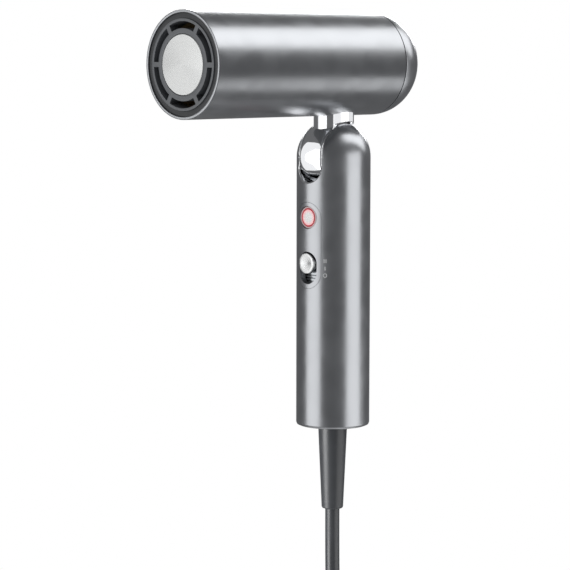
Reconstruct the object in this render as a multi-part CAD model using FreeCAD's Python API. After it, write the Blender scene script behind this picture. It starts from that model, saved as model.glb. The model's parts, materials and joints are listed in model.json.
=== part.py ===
import FreeCAD, Part
import math
import os

# Folding travel hair dryer, in millimetres. +Z is up along the handle, the air leaves towards -Y,
# and X is the fold axis. The origin is on the handle's axis, in the middle of the plain grip.

# ---- overall ----
hinge_height = 92.0         # origin up to the fold axis
handle_radius = 16.57
handle_drop = 120.97        # fold axis down to the handle's bottom face
handle_wall = 1.6
barrel_radius = 23.0
barrel_wall = 1.3
neck_gap = 1.81             # the handle's dome up to the barrel's skin
nose_reach = 90.55          # fold axis forward to the outlet face
tail_reach = 22.7           # fold axis back to the barrel shell's rear edge
shoulder_inset = 5.2        # how far inside the barrel's radius the dome's shoulder is centred
crown_bulge = 2.02          # how far the dome's crown stands past a plain shoulder arc

# ---- gaps between pieces ----
seam_gap = 0.25             # a visible seam between two moving bodies
panel_gap = 0.15            # the control panel's seam
slip = 0.05                 # a running or push fit, per side
seat = 0.02                 # pieces that are pressed or screwed together
travel_gap = 0.3            # a moving piece and what it passes
overlap = 0.3               # how far joined parts of one piece reach into each other

# ---- hinge ----
knuckle_inset = 1.07        # the knuckle's rim below the handle's skin
knuckle_half_width = 6.5
knuckle_edge = 0.5
pin_radius = 5.0
pin_bore = 3.4
pin_inner_end = 2.5         # where each half pin starts, out from the middle
bush_wall = 1.55
arm_thickness = 3.2
arm_half_width = 5.0
ear_wall = 1.2
ear_chamfer = 0.5
slot_drop = 4.1             # fold axis down to the centre of the slot's round end
washer_radius = 9.2
washer_thickness = 0.8
neck_radius = 9.0
neck_bore = 4.0
neck_clearance = 0.6        # the neck's saddle over the knuckle's rim
spigot_step = 1.4           # the neck's shoulder round its spigot
plate_thickness = 1.2
plate_half_length = 10.0
plate_half_width = 9.0
neck_screw_inset = 1.66     # the screws' axes, in from the spigot's edge

# ---- outlet ----
outlet_ring_recess = 0.6
outlet_ring_wall = 2.3      # between the barrel's bore and the ring's own
outlet_ring_depth = 7.0
grille_recess = 0.15
grille_depth = 8.0
grille_wall = 1.3           # the grille's outer ring, outside the slots
hub_inset = 8.7             # the barrel's bore in to the hub's
hub_wall_width = 2.2        # the hub's rim, inside the slots
spoke_count = 6
spoke_width = 2.1
spoke_depth = 5.0
hub_plate_depth = 3.0
hub_plate_thickness = 1.2
cap_chamfer = 0.3
cap_thickness = 1.0
magnet_count = 8
magnet_radius = 0.85
magnet_length = 3.0

# ---- heater ----
heat_tube_inset = 2.8       # inside the barrel's bore
heat_tube_wall = 0.5
heat_tube_rear = -20.2
collar_front = -28.0
collar_rear = -24.5
board_thickness = 0.8
fin_gap = 3.4               # between the mica boards and the tube's outside
heater_front = -74.0
heater_rear = -32.0
coil_pitch = 5.0
coil_turns = 7
coil_wire_radius = 0.35
coil_edge_inset = 0.5       # the wire's centre line, inside the mica board's edge
coil_corner = 1.5           # bend of the wire over a board's edge

# ---- motor ----
shroud_inset = 2.7          # inside the barrel's bore
shroud_wall = 1.1
shroud_front = -20.0
shroud_rear = 14.0
hub_radius = 10.5
hub_wall = 1.0
hub_front = -18.0
hub_rear = 2.0
vane_count = 9
vane_thickness = 0.8
vane_tilt = 20.0
bearing_radius = 4.0
bearing_length = 2.5
boss_wall = 1.2
shaft_radius = 1.5
core_front = -14.0
core_rear = -4.0
core_wall = 1.85
tooth_count = 6
tooth_width = 1.8
tooth_tip_radius = 5.0
winding_thickness = 1.3
magnet_sleeve_radius = 4.4
impeller_front = 3.0
impeller_rear = 12.0
blade_count = 9
blade_thickness = 0.7
blade_tilt = 50.0
damper_length = 4.0

# ---- inlet ----
frame_ring_rear = 20.0
frame_ring_length = 3.0
frame_ring_depth = 3.2      # inside the barrel's bore
cover_magnet_length = 2.0
skirt_wall = 1.9
keeper_outer_inset = 0.5    # the keeper ring's rim, inside the skirt's
keeper_inner_inset = 1.4
keeper_depth = 0.7
cover_wall = 1.6
inlet_hole_radius = 0.9
inlet_ring_step = 2.9
inlet_rings = 5
mesh_thickness = 0.4
mesh_hole_radius = 1.2
mesh_hole_step = 3.0
mesh_rings = 5

# ---- controls, measured down from the fold axis ----
panel_margin = 1.9          # the panel beside the slider's slot
panel_foot = 2.0            # the panel below the slider's slot
panel_top_gap = 2.6         # the panel's top below the wall of the knuckle's pocket
panel_thickness = 2.0
flange_lip = 1.6
post_radius = 1.8
post_drop = 6.0             # the lower post, below the panel's foot
post_margin = 0.6           # the flange beyond the switch board's posts
flange_thickness = 1.0
button_below = 6.8          # the panel's top down to the button's middle
button_radius = 4.95
button_sink = 0.67          # the button's face below the handle's skin
button_flange_radius = 5.9
button_stem_radius = 1.1
light_ring_outer = 4.4
light_ring_inner = 3.6
light_ring_depth = 0.7
knob_below = 20.4           # the button's middle down to the knob's
knob_radius = 4.6
knob_stand = 0.83           # the knob's face above the handle's skin
knob_travel = 4.3
slider_side_gap = 0.5       # the slot beside the knob
slider_top_gap = 0.6        # the slot above the knob at its highest
slider_low_gap = 0.4        # the slot below the knob at its lowest
carriage_thickness = 0.75
groove_count = 3
groove_pitch = 1.3
groove_width = 0.5
groove_depth = 0.3

# ---- inside the handle ----
frame_gap = 0.07            # the inner frame and its bore
frame_wall = 1.2
arm_root = 0.5              # how far each arm reaches into the frame's upper ring
frame_ring_height = 4.0
board_front_y = 2.6
main_board_thickness = 1.2
main_board_inset = 2.97     # inside the handle's bore
main_board_low = -8.0
main_board_high = 56.0
switch_board_inset = 6.37   # the switch board's front face, inside the handle's bore
switch_board_thickness = 1.0
switch_board_half_width = 5.5
end_cap_recess = 0.4
end_cap_thickness = 3.5
end_screw_inset = 4.17      # inside the handle's bore
relief_flange_radius = 8.4
relief_flange_thickness = 2.0
relief_top_radius = 6.6
relief_tip_radius = 4.9
relief_length = 38.7
lead_top = -8.5
clamp_low = -19.6
clamp_height = 6.0
clamp_half_width = 8.3
clamp_depth = 4.8           # the clamp bar's front face, in front of the cord's axis
clamp_split = 0.4           # left open between the bar and its seat
clamp_screw_offset = 6.2
wire_radius = 0.5
wire_pitch = 1.4
wire_bend = 1.8
wire_pass = 3.0             # half the opening that the wires pass through
wire_jog = 2.6              # how far the wires step in towards the main board

# ---- screws ----
screw_radius = 0.9
screw_head_radius = 1.7
screw_head_height = 0.8
screw_length = 9.0
screw_sink = 1.2            # the end cap's counterbores

# ---- cord ----
cord_radius = 3.27
largest_cord_bend = 1000.0
coil_ring_radius = 36.0     # middle of the coil's turns
coil_bundle_radius = 10.6
coil_centre_z = -228.0
tie_thickness = 1.0
tie_half_angle = 9.0
cord_route = [
    (0.0, 0.0, -66.7), (0.0, 0.7, -112.0), (0.0, 10.5, -147.0), (1.0, 31.5, -177.0),
    (2.0, 42.0, -208.0), (2.0, 43.5, -233.0),
]
tail_route = [(-5.0, 37.5, -236.0), (-6.0, 39.5, -262.0), (-6.0, 38.5, -284.0)]
plug_half_x = 12.5
plug_half_y = 8.0
plug_length = 32.0
plug_edge = 3.0
blade_spacing = 12.7
blade_width = 6.3
blade_plate = 1.5
blade_length = 17.0

# ---- places worked out from the sizes above ----
V = FreeCAD.Vector
X_AXIS = V(1, 0, 0)
Y_AXIS = V(0, 1, 0)
Z_AXIS = V(0, 0, 1)
barrel_rise = barrel_radius + handle_radius + neck_gap
hinge = V(0, 0, hinge_height)
barrel_centre = V(0, 0, hinge_height + barrel_rise)
nose_y = -nose_reach
bore_radius = barrel_radius - barrel_wall
outlet_ring_bore = bore_radius - outlet_ring_wall
slot_outer_radius = outlet_ring_bore - grille_wall
hub_bore = bore_radius - hub_inset
slot_inner_radius = hub_bore + hub_wall_width
heat_tube_radius = bore_radius - heat_tube_inset
fin_radius = heat_tube_radius - fin_gap
shroud_radius = bore_radius - shroud_inset
frame_ring_bore = bore_radius - frame_ring_depth
spigot_radius = neck_radius - spigot_step
neck_screw_offset = (spigot_radius - neck_screw_inset) / math.sqrt(2)
handle_bore = handle_radius - handle_wall
knuckle_radius = handle_radius - knuckle_inset
handle_bottom = hinge_height - handle_drop
slot_half_width = knuckle_half_width + travel_gap
pocket_radius = knuckle_radius + travel_gap
saddle_radius = knuckle_radius + neck_clearance
bush_radius = pin_radius + slip + bush_wall
arm_inner = slot_half_width + ear_wall + travel_gap
arm_outer = arm_inner + arm_thickness
plate_inner_radius = bore_radius - slip - plate_thickness
head_wire_depth = plate_inner_radius - wire_radius - travel_gap / 2
frame_radius = handle_bore - frame_gap
panel_inner_radius = handle_radius - panel_thickness
flange_radius = handle_bore - slip
flange_bore = flange_radius - flange_thickness
carriage_radius = flange_bore - 0.15
panel_top_drop = pocket_radius + ear_wall + panel_top_gap
button_drop = panel_top_drop + button_below
button_z = hinge_height - button_drop
button_face_y = button_sink - handle_radius
knob_drop = button_drop + knob_below
knob_z = hinge_height - knob_drop
knob_face_y = -handle_radius - knob_stand
slider_half_width = knob_radius + slider_side_gap
slider_top_drop = knob_drop - knob_radius - slider_top_gap
slider_bottom_drop = knob_drop + knob_travel + knob_radius + slider_low_gap
panel_half_width = slider_half_width + panel_margin
panel_bottom_drop = slider_bottom_drop + panel_foot
switch_board_y = switch_board_inset - handle_bore
main_board_half_width = handle_bore - main_board_inset
end_screw_offset = handle_bore - end_screw_inset
wire_joint = arm_outer - 0.7
wire_lane = (arm_outer + handle_bore) / 2
cap_top = handle_bottom + end_cap_recess + end_cap_thickness
cover_start = tail_reach + seam_gap


# ---- shape helpers ----
def solid_of(shape):
    """The shape with its faces pointing outwards."""
    if shape.Volume < 0:
        shape.reverse()
    return shape


def lathe(corners, centre, axis, out):
    """A turned solid: corners are (distance along the axis, radius) pairs."""
    points = [centre + axis * along + out * radius for along, radius in corners]
    face = Part.Face(Part.makePolygon(points + points[:1]))
    return solid_of(face.revolve(centre, axis, 360))


def rod(radius, start, end, centre, axis):
    return Part.makeCylinder(radius, end - start, centre + axis * start, axis)


def ring(outer, inner, start, end, centre, axis):
    return rod(outer, start, end, centre, axis).cut(rod(inner, start - 1, end + 1, centre, axis))


def barrel_rod(radius, start, end):
    return rod(radius, start, end, barrel_centre, Y_AXIS)


def barrel_ring(outer, inner, start, end):
    return ring(outer, inner, start, end, barrel_centre, Y_AXIS)


def handle_ring(outer, inner, low, high):
    return ring(outer, inner, low, high, V(0, 0, 0), Z_AXIS)


def block(low, high):
    """A box between two opposite corners."""
    size = [high[i] - low[i] for i in range(3)]
    return Part.makeBox(size[0], size[1], size[2], V(*low))


def stadium(half_width, low, high, front, back):
    """An upright slot shape with round ends, standing through from y=front to y=back."""
    upper = high - half_width
    lower = low + half_width
    left_top = V(-half_width, front, upper)
    right_top = V(half_width, front, upper)
    right_low = V(half_width, front, lower)
    left_low = V(-half_width, front, lower)
    edges = [
        Part.Arc(left_top, V(0, front, high), right_top).toShape(),
        Part.LineSegment(right_top, right_low).toShape(),
        Part.Arc(right_low, V(0, front, low), left_low).toShape(),
        Part.LineSegment(left_low, left_top).toShape(),
    ]
    return solid_of(Part.Face(Part.Wire(edges)).extrude(V(0, back - front, 0)))


def turned(shape, angle):
    """A copy turned about the barrel's axis."""
    copy = shape.copy()
    copy.rotate(barrel_centre, Y_AXIS, angle)
    return copy


def around(shape, count):
    return [turned(shape, 360.0 * step / count) for step in range(count)]


def bent_path(points, largest_bend):
    """Straight runs joined by tangent arcs as large as the runs allow, and the arcs' radii."""
    corners = [V(*point) for point in points]
    edges = []
    radii = []
    start = corners[0]
    for index in range(1, len(corners) - 1):
        corner = corners[index]
        to_back = corners[index - 1] - corner
        to_next = corners[index + 1] - corner
        half_turn = (math.pi - to_back.getAngle(to_next)) / 2
        shorter = min(to_back.Length, to_next.Length)
        radius = min(0.45 * shorter / math.tan(half_turn), largest_bend)
        setback = radius * math.tan(half_turn)
        to_back.normalize()
        to_next.normalize()
        inward = (to_back + to_next).normalize()
        centre = corner + inward * (radius / math.cos(half_turn))
        arc_start = corner + to_back * setback
        arc_end = corner + to_next * setback
        edges.append(Part.LineSegment(start, arc_start).toShape())
        edges.append(Part.Arc(arc_start, centre - inward * radius, arc_end).toShape())
        radii.append(radius)
        start = arc_end
    edges.append(Part.LineSegment(start, corners[-1]).toShape())
    return Part.Wire(edges), radii


def tube_along(points, radius, largest_bend):
    """A round wire or cord swept along its bent path."""
    path, radii = bent_path(points, largest_bend)
    first = V(*points[0])
    heading = V(*points[1]) - first
    section = Part.Wire([Part.makeCircle(radius, first, heading)])
    solid = solid_of(path.makePipeShell([section], True, False))
    return solid, path.Length, radii


def screw(centre, axis, shank_length):
    """A pan-head screw: centre is under the head, axis points out of the head."""
    shank = rod(screw_radius, -shank_length, 0, centre, axis)
    head = rod(screw_head_radius, 0, screw_head_height, centre, axis)
    driver = rod(screw_radius * 0.6, screw_head_height * 0.4, screw_head_height + 1, centre, axis)
    return shank.fuse(head).cut(driver).removeSplitter()


def dome(offset):
    """The closed end of the barrel, its outer skin moved inwards by offset."""
    shoulder = barrel_radius - shoulder_inset - offset
    drop = (shoulder_inset ** 2 - crown_bulge ** 2) / (2 * crown_bulge)
    crown = shoulder + crown_bulge + drop
    tangent = math.atan2(drop, shoulder_inset)
    y_arc = cover_start + seam_gap

    def at(radius, y):
        return barrel_centre + V(0, y, radius)

    shoulder_end = at(shoulder_inset + shoulder * math.cos(tangent), y_arc + shoulder * math.sin(tangent))
    middle = tangent / 2
    shoulder_mid = at(shoulder_inset + shoulder * math.cos(middle), y_arc + shoulder * math.sin(middle))
    crown_turn = (math.pi / 2 + tangent) / 2
    crown_mid = at(crown * math.cos(crown_turn), y_arc - drop + crown * math.sin(crown_turn))
    tip = at(0, y_arc - drop + crown)
    start = at(shoulder_inset + shoulder, y_arc)
    base = at(shoulder_inset + shoulder, cover_start)
    edges = [
        Part.LineSegment(at(0, cover_start), base).toShape(),
        Part.LineSegment(base, start).toShape(),
        Part.Arc(start, shoulder_mid, shoulder_end).toShape(),
        Part.Arc(shoulder_end, crown_mid, tip).toShape(),
        Part.LineSegment(tip, at(0, cover_start)).toShape(),
    ]
    return solid_of(Part.Face(Part.Wire(edges)).revolve(barrel_centre, Y_AXIS, 360))


def hole_rings(radius, step, rings, start, end):
    """Round holes along the barrel's axis: one in the middle, then rings of six, twelve and so on."""
    holes = [barrel_rod(radius, start, end)]
    for index in range(1, rings + 1):
        hole = rod(radius, start, end, barrel_centre + V(index * step, 0, 0), Y_AXIS)
        holes += around(hole, 6 * index)
    return Part.Compound(holes)


# ---- barrel and outlet ----
def barrel_shell():
    edge = 0.35
    skin = lathe(
        [
            (nose_y, bore_radius), (nose_y, barrel_radius - edge), (nose_y + edge, barrel_radius),
            (tail_reach, barrel_radius), (tail_reach, bore_radius),
        ],
        barrel_centre, Y_AXIS, Z_AXIS,
    )
    neck_hole = rod(spigot_radius + slip, 0, barrel_rise, hinge, Z_AXIS)
    return skin.cut(neck_hole)


def outlet_magnet_place():
    middle = (outlet_ring_bore + bore_radius) / 2
    return barrel_centre + V(middle, nose_y + outlet_ring_depth, 0)


def outlet_ring():
    front = nose_y + outlet_ring_recess
    body = barrel_ring(bore_radius - slip, outlet_ring_bore, front, nose_y + outlet_ring_depth)
    pocket = rod(magnet_radius + slip, -magnet_length - slip, 1, outlet_magnet_place(), Y_AXIS)
    return body.cut(Part.Compound(around(pocket, magnet_count)))


def nozzle_magnets():
    magnet = rod(magnet_radius, -magnet_length, 0, outlet_magnet_place(), Y_AXIS)
    return Part.Compound(around(magnet, magnet_count))


def outlet_grille():
    front = nose_y + grille_recess
    rear = nose_y + grille_depth
    outer = barrel_ring(outlet_ring_bore - slip, slot_outer_radius, front, rear)
    hub = barrel_ring(slot_inner_radius, hub_bore, front, rear)
    plate_front = nose_y + hub_plate_depth
    plate = barrel_rod(hub_bore + overlap, plate_front, plate_front + hub_plate_thickness)
    z = barrel_centre.z
    spoke = block(
        (slot_inner_radius - overlap, front, z - spoke_width / 2),
        (slot_outer_radius + overlap, front + spoke_depth, z + spoke_width / 2),
    )
    return outer.multiFuse([hub, plate] + around(spoke, spoke_count)).removeSplitter()


def centre_cap():
    radius = hub_bore - slip * 2
    front = nose_y + 0.1
    back = nose_y + hub_plate_depth - seat
    skirt_bore = radius - cap_thickness
    return lathe(
        [
            (front, 0), (front, radius - cap_chamfer), (front + cap_chamfer, radius), (back, radius),
            (back, skirt_bore), (front + cap_thickness, skirt_bore), (front + cap_thickness, 0),
        ],
        barrel_centre, Y_AXIS, Z_AXIS,
    )


# ---- heater ----
def heat_tube():
    front = nose_y + grille_depth + seat
    tube = barrel_ring(heat_tube_radius, heat_tube_radius - heat_tube_wall, front, heat_tube_rear)
    half = wire_pitch + wire_radius * 2 + travel_gap
    window = block(
        (-half, heat_tube_rear - 3.2, barrel_centre.z - heat_tube_radius - 1),
        (half, heat_tube_rear + 1, barrel_centre.z - heat_tube_radius + 3),
    )
    return tube.cut(window)


def duct_collar():
    return barrel_ring(bore_radius - slip, heat_tube_radius + seat, collar_front, collar_rear)


def coil_start():
    return (heater_front + heater_rear - coil_pitch * coil_turns) / 2


def heater_frame():
    z = barrel_centre.z
    board = block(
        (-fin_radius, heater_front, z - board_thickness / 2),
        (fin_radius, heater_rear, z + board_thickness / 2),
    )
    star = board.multiFuse([turned(board, 60), turned(board, 120)]).removeSplitter()
    wire_path_radius = fin_radius - coil_edge_inset
    half = coil_wire_radius + 0.25
    notches = []
    for turn in range(coil_turns + 1):
        for fin in range(6):
            along = turn + fin / 6.0
            if along <= coil_turns:
                y = coil_start() + coil_pitch * along
                notch = block(
                    (wire_path_radius - half - coil_corner / 4, y - half, z - board_thickness),
                    (fin_radius + 1, y + half, z + board_thickness),
                )
                notches.append(turned(notch, 60.0 * fin))
    return star.cut(Part.Compound(notches))


def heater_coil():
    """Resistance wire wound over the six fins, straight from one fin to the next."""
    radius = fin_radius - coil_edge_inset
    points = []
    for step in range(6 * coil_turns + 1):
        angle = -math.radians(60.0 * step)
        y = coil_start() + coil_pitch * step / 6.0
        points.append((radius * math.cos(angle), y, barrel_centre.z + radius * math.sin(angle)))
    return tube_along(points, coil_wire_radius, coil_corner)[0]


def thermal_cutout():
    base = barrel_centre + V(fin_radius * 0.55, heater_rear - 8, board_thickness / 2 + seat)
    can = Part.makeCylinder(3.2, 2.6, base, Z_AXIS)
    rim = Part.makeCylinder(3.8, 0.6, base, Z_AXIS)
    return can.fuse(rim).removeSplitter()


def thermal_fuse():
    radius = 1.2
    y = (heater_front + heater_rear) / 2
    centre = barrel_centre + V(-fin_radius * 0.55, 0, board_thickness / 2 + radius + seat)
    body = rod(radius, y - 5, y + 5, centre, Y_AXIS)
    leads = rod(0.35, y - 9, y + 9, centre, Y_AXIS)
    return body.fuse(leads)


# ---- motor ----
def blades(count, thickness, tilt, inner, outer, front, rear):
    """Thin tilted blades standing out from a hub, trimmed to the ring they work in."""
    middle = (front + rear) / 2
    z = barrel_centre.z
    height = (rear - front) * 1.6
    blade = block(
        (inner - 1, middle - height / 2, z - thickness / 2),
        (outer + 2, middle + height / 2, z + thickness / 2),
    )
    blade.rotate(barrel_centre + V(0, middle, 0), X_AXIS, tilt)
    trim = barrel_ring(outer, inner, front, rear)
    return [turned(blade, 360.0 * step / count).common(trim) for step in range(count)]


def motor_housing():
    shroud = barrel_ring(shroud_radius, shroud_radius - shroud_wall, shroud_front, shroud_rear)
    can = barrel_ring(hub_radius, hub_radius - hub_wall, hub_front, hub_rear)
    wall = barrel_ring(hub_radius - hub_wall / 2, bearing_radius + slip / 5, hub_front, hub_front + boss_wall)
    boss_rear = hub_front + bearing_length
    boss = barrel_ring(bearing_radius + boss_wall, bearing_radius + slip / 5, hub_front, boss_rear)
    vanes = blades(
        vane_count, vane_thickness, vane_tilt,
        hub_radius - overlap, shroud_radius - shroud_wall + overlap, hub_front + 1, hub_front + 11,
    )
    return shroud.multiFuse([can, wall, boss] + vanes).removeSplitter()


def motor_end_plate():
    rear = hub_rear - 0.2
    plate = barrel_ring(hub_radius - hub_wall - slip, bearing_radius + slip / 5, rear - boss_wall, rear)
    boss = barrel_ring(bearing_radius + boss_wall, bearing_radius + slip / 5, rear - bearing_length, rear)
    return plate.fuse(boss).removeSplitter()


def motor_bearings():
    rear = hub_rear - 0.2
    front_bearing = barrel_ring(bearing_radius, shaft_radius + slip / 2, hub_front, hub_front + bearing_length)
    rear_bearing = barrel_ring(bearing_radius, shaft_radius + slip / 2, rear - bearing_length, rear)
    return Part.Compound([front_bearing, rear_bearing])


def tooth(extra):
    z = barrel_centre.z
    half = tooth_width / 2 + extra
    root = hub_radius - hub_wall - core_wall
    return block(
        (tooth_tip_radius, core_front - extra, z - half),
        (root + overlap, core_rear + extra, z + half),
    )


def stator_core():
    outer = hub_radius - hub_wall - slip
    yoke = barrel_ring(outer, hub_radius - hub_wall - core_wall, core_front, core_rear)
    return yoke.multiFuse(around(tooth(0), tooth_count)).removeSplitter()


def stator_windings():
    z = barrel_centre.z
    half = tooth_width / 2 + winding_thickness
    root = hub_radius - hub_wall - core_wall
    outer = math.sqrt((root - slip) ** 2 - half ** 2)
    bundle = block(
        (tooth_tip_radius + 0.3, core_front - winding_thickness, z - half),
        (outer, core_rear + winding_thickness, z + half),
    )
    winding = bundle.cut(tooth(seat))
    return Part.Compound(around(winding, tooth_count))


def rotor_magnet():
    return barrel_ring(magnet_sleeve_radius, shaft_radius + slip / 5, core_front, core_rear)


def motor_shaft():
    return barrel_rod(shaft_radius, hub_front - 1.2, impeller_rear - 1.5)


def impeller():
    base = hub_radius - 1
    hub = lathe(
        [
            (impeller_front, 0), (impeller_front, base), (impeller_front + 3, base - 0.8),
            (impeller_front + 6, base - 3), (impeller_rear - 1, base - 6), (impeller_rear, base - 7.5),
            (impeller_rear, 0),
        ],
        barrel_centre, Y_AXIS, Z_AXIS,
    )
    tip = shroud_radius - shroud_wall - travel_gap
    wings = blades(
        blade_count, blade_thickness, blade_tilt, base - 7, tip, impeller_front + 0.2, impeller_rear - 1.5,
    )
    shaft_hole = barrel_rod(shaft_radius + slip / 5, impeller_front - 1, impeller_rear - 1.5 + seat)
    return hub.multiFuse(wings).cut(shaft_hole).removeSplitter()


def motor_dampers():
    half = wire_pitch + wire_radius * 2 + travel_gap
    bottom = barrel_centre.z - bore_radius
    gap = block((-half, shroud_front, bottom - 1), (half, shroud_rear + 1, bottom + 4))
    starts = (shroud_front + 1, shroud_rear - damper_length)
    rings = [barrel_ring(bore_radius - slip, shroud_radius + seat, y, y + damper_length) for y in starts]
    return Part.Compound([part.cut(gap) for part in rings])


# ---- inlet ----
def cover_magnet_place():
    return barrel_centre + V((frame_ring_bore + bore_radius) / 2, frame_ring_rear, 0)


def rear_frame():
    front = frame_ring_rear - frame_ring_length
    body = barrel_ring(bore_radius - slip, frame_ring_bore, front, frame_ring_rear)
    pocket = rod(magnet_radius + slip, -cover_magnet_length - slip, 1, cover_magnet_place(), Y_AXIS)
    return body.cut(Part.Compound(around(pocket, magnet_count)))


def cover_magnets():
    magnet = rod(magnet_radius, -cover_magnet_length, 0, cover_magnet_place(), Y_AXIS)
    return Part.Compound(around(magnet, magnet_count))


def skirt_radius():
    return bore_radius - seam_gap


def rear_cover():
    shell = dome(0).cut(dome(cover_wall))
    front = frame_ring_rear + travel_gap
    skirt = barrel_ring(skirt_radius(), skirt_radius() - skirt_wall, front, cover_start + 1)
    keeper_outer = skirt_radius() - keeper_outer_inset + slip
    keeper_inner = skirt_radius() - keeper_inner_inset - slip
    keeper_seat = barrel_ring(keeper_outer, keeper_inner, front - 1, front + keeper_depth)
    hole_end = cover_start + barrel_radius * 2
    hole_start = cover_start + shoulder_inset / 2
    holes = hole_rings(inlet_hole_radius, inlet_ring_step, inlet_rings, hole_start, hole_end)
    return shell.fuse(skirt).cut(keeper_seat).cut(holes).removeSplitter()


def keeper_ring():
    front = frame_ring_rear + travel_gap
    outer = skirt_radius() - keeper_outer_inset
    return barrel_ring(outer, skirt_radius() - keeper_inner_inset, front, front + keeper_depth - seat)


def inlet_mesh():
    radius = skirt_radius() - skirt_wall - slip
    disc = barrel_rod(radius, cover_start - mesh_thickness, cover_start)
    holes = hole_rings(mesh_hole_radius, mesh_hole_step, mesh_rings, cover_start - 1, cover_start + 1)
    return disc.cut(holes)


# ---- neck and hinge ----
def neck_screw_places():
    offset = neck_screw_offset
    height = barrel_centre.z - math.sqrt(plate_inner_radius ** 2 - offset ** 2)
    return [V(x, y, height) for x in (-offset, offset) for y in (-offset, offset)]


def hinge_neck():
    edge = knuckle_edge
    half = knuckle_half_width
    knuckle = lathe(
        [
            (-half, 0), (-half, knuckle_radius - edge - 0.5), (-half + edge, knuckle_radius - 0.4),
            (-half / 3, knuckle_radius), (half / 3, knuckle_radius), (half - edge, knuckle_radius - 0.4),
            (half, knuckle_radius - edge - 0.5), (half, 0),
        ],
        hinge, X_AXIS, Z_AXIS,
    )
    neck = rod(neck_radius, 0, barrel_rise, hinge, Z_AXIS)
    saddle = rod(saddle_radius, -neck_radius - 1, neck_radius + 1, hinge, X_AXIS)
    neck = neck.cut(saddle.cut(block((-half, -30, 0), (half, 30, hinge_height + 30))))
    neck = neck.cut(rod(barrel_radius + seat, -30, 30, barrel_centre, Y_AXIS))
    spigot = rod(spigot_radius, barrel_rise - barrel_radius - 1, barrel_rise, hinge, Z_AXIS)
    spigot = spigot.cut(rod(bore_radius, -30, 30, barrel_centre, Y_AXIS))
    casting = knuckle.multiFuse([neck, spigot])
    recess = washer_radius + travel_gap
    floor = slot_half_width - washer_thickness - slip
    cuts = [
        rod(pin_radius + slip / 5, -half - 1, half + 1, hinge, X_AXIS),
        rod(recess, floor, half + 1, hinge, X_AXIS),
        rod(recess, -half - 1, -floor, hinge, X_AXIS),
        rod(neck_bore, 0, barrel_rise, hinge, Z_AXIS),
    ]
    cuts += [rod(screw_radius + slip / 5, -5.5, 1, place, Z_AXIS) for place in neck_screw_places()]
    return casting.cut(Part.Compound(cuts)).removeSplitter()


def hinge_pins():
    sides = []
    for side in (-1, 1):
        sides.append(ring(pin_radius, pin_bore, pin_inner_end, arm_outer - slip, hinge, X_AXIS * side))
    return Part.Compound(sides)


def hinge_bushes():
    bushes = []
    for side in (-1, 1):
        inner = slot_half_width + seat
        bushes.append(ring(bush_radius, pin_radius + slip, inner, arm_outer, hinge, X_AXIS * side))
    return Part.Compound(bushes)


def friction_washers():
    washers = []
    for side in (-1, 1):
        inner = slot_half_width - washer_thickness
        bore = pin_radius + travel_gap
        washers.append(ring(washer_radius, bore, inner, slot_half_width, hinge, X_AXIS * side))
    return Part.Compound(washers)


def neck_plate():
    curved = barrel_ring(bore_radius - slip, plate_inner_radius, -plate_half_length, plate_half_length)
    trim = block(
        (-plate_half_width, -plate_half_length, hinge_height),
        (plate_half_width, plate_half_length, barrel_centre.z),
    )
    holes = [rod(neck_bore, 0, barrel_rise, hinge, Z_AXIS)]
    for place in neck_screw_places():
        holes.append(rod(screw_radius + slip, -5, 5, place, Z_AXIS))
        holes.append(rod(screw_head_radius + slip, 0, 5, place, Z_AXIS))
    return curved.common(trim).cut(Part.Compound(holes))


def neck_screws():
    return Part.Compound([screw(place + V(0, 0, slip), Z_AXIS, 5) for place in neck_screw_places()])


def head_wires():
    wires = []
    for index in (-1, 0, 1):
        side = index * wire_pitch
        low = barrel_centre.z - head_wire_depth
        turn_y = heat_tube_rear - 1.5
        points = [
            (travel_gap - wire_joint, side, hinge_height), (side, side, hinge_height),
            (side, side, low),
            (side, turn_y, low), (side, turn_y, low + 8), (side, heater_rear + 0.6, low + 8),
        ]
        wires.append(tube_along(points, wire_radius, wire_bend)[0])
    return Part.Compound(wires)


# ---- handle ----
def handle_solid(radius, bottom):
    body = rod(radius, bottom - hinge_height, 0, hinge, Z_AXIS)
    return body.fuse(Part.makeSphere(radius, hinge)).removeSplitter()


def slot_opening(margin):
    """The slot through the handle's top, round at its lower end, seen from the front."""
    half = slot_half_width + margin
    low = hinge_height - slot_drop - half
    return stadium(half, low, hinge_height + handle_radius * 2, -handle_radius - 2, handle_radius + 2)


def handle_shell():
    shell = handle_solid(handle_radius, handle_bottom).cut(handle_solid(handle_bore, handle_bottom - 5))
    cheek = slot_half_width + ear_wall
    pocket_block = rod(pocket_radius + ear_wall, -cheek, cheek, hinge, X_AXIS)
    pocket_block = pocket_block.common(handle_solid(handle_radius, handle_bottom))
    pocket = rod(pocket_radius, -slot_half_width, slot_half_width, hinge, X_AXIS)
    shell = shell.fuse(pocket_block).cut(pocket).cut(slot_opening(0)).removeSplitter()
    outside = rod(handle_radius * 2, -handle_drop, handle_radius * 2, hinge, Z_AXIS)
    outside = outside.cut(handle_solid(handle_radius - ear_chamfer, handle_bottom - 5))
    shell = shell.cut(slot_opening(ear_chamfer).common(outside))
    edge = 1.2
    rounding = lathe(
        [
            (handle_bottom, handle_radius - edge), (handle_bottom, handle_radius + 1),
            (handle_bottom + edge, handle_radius + 1), (handle_bottom + edge, handle_radius),
            (handle_bottom + edge * 0.29, handle_radius - edge * 0.29),
        ],
        V(0, 0, 0), Z_AXIS, X_AXIS,
    )
    cuts = [
        rounding,
        stadium(
            panel_half_width + panel_gap, hinge_height - panel_bottom_drop - panel_gap,
            hinge_height - panel_top_drop + panel_gap, -handle_radius - 1, 0,
        ),
        rod(bush_radius + slip, -cheek - 0.1, cheek + 0.1, hinge, X_AXIS),
    ]
    return shell.cut(Part.Compound(cuts)).removeSplitter()


def frame_screw_places():
    return [V(side * end_screw_offset, 0, handle_bottom + end_cap_recess) for side in (-1, 1)]


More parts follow.
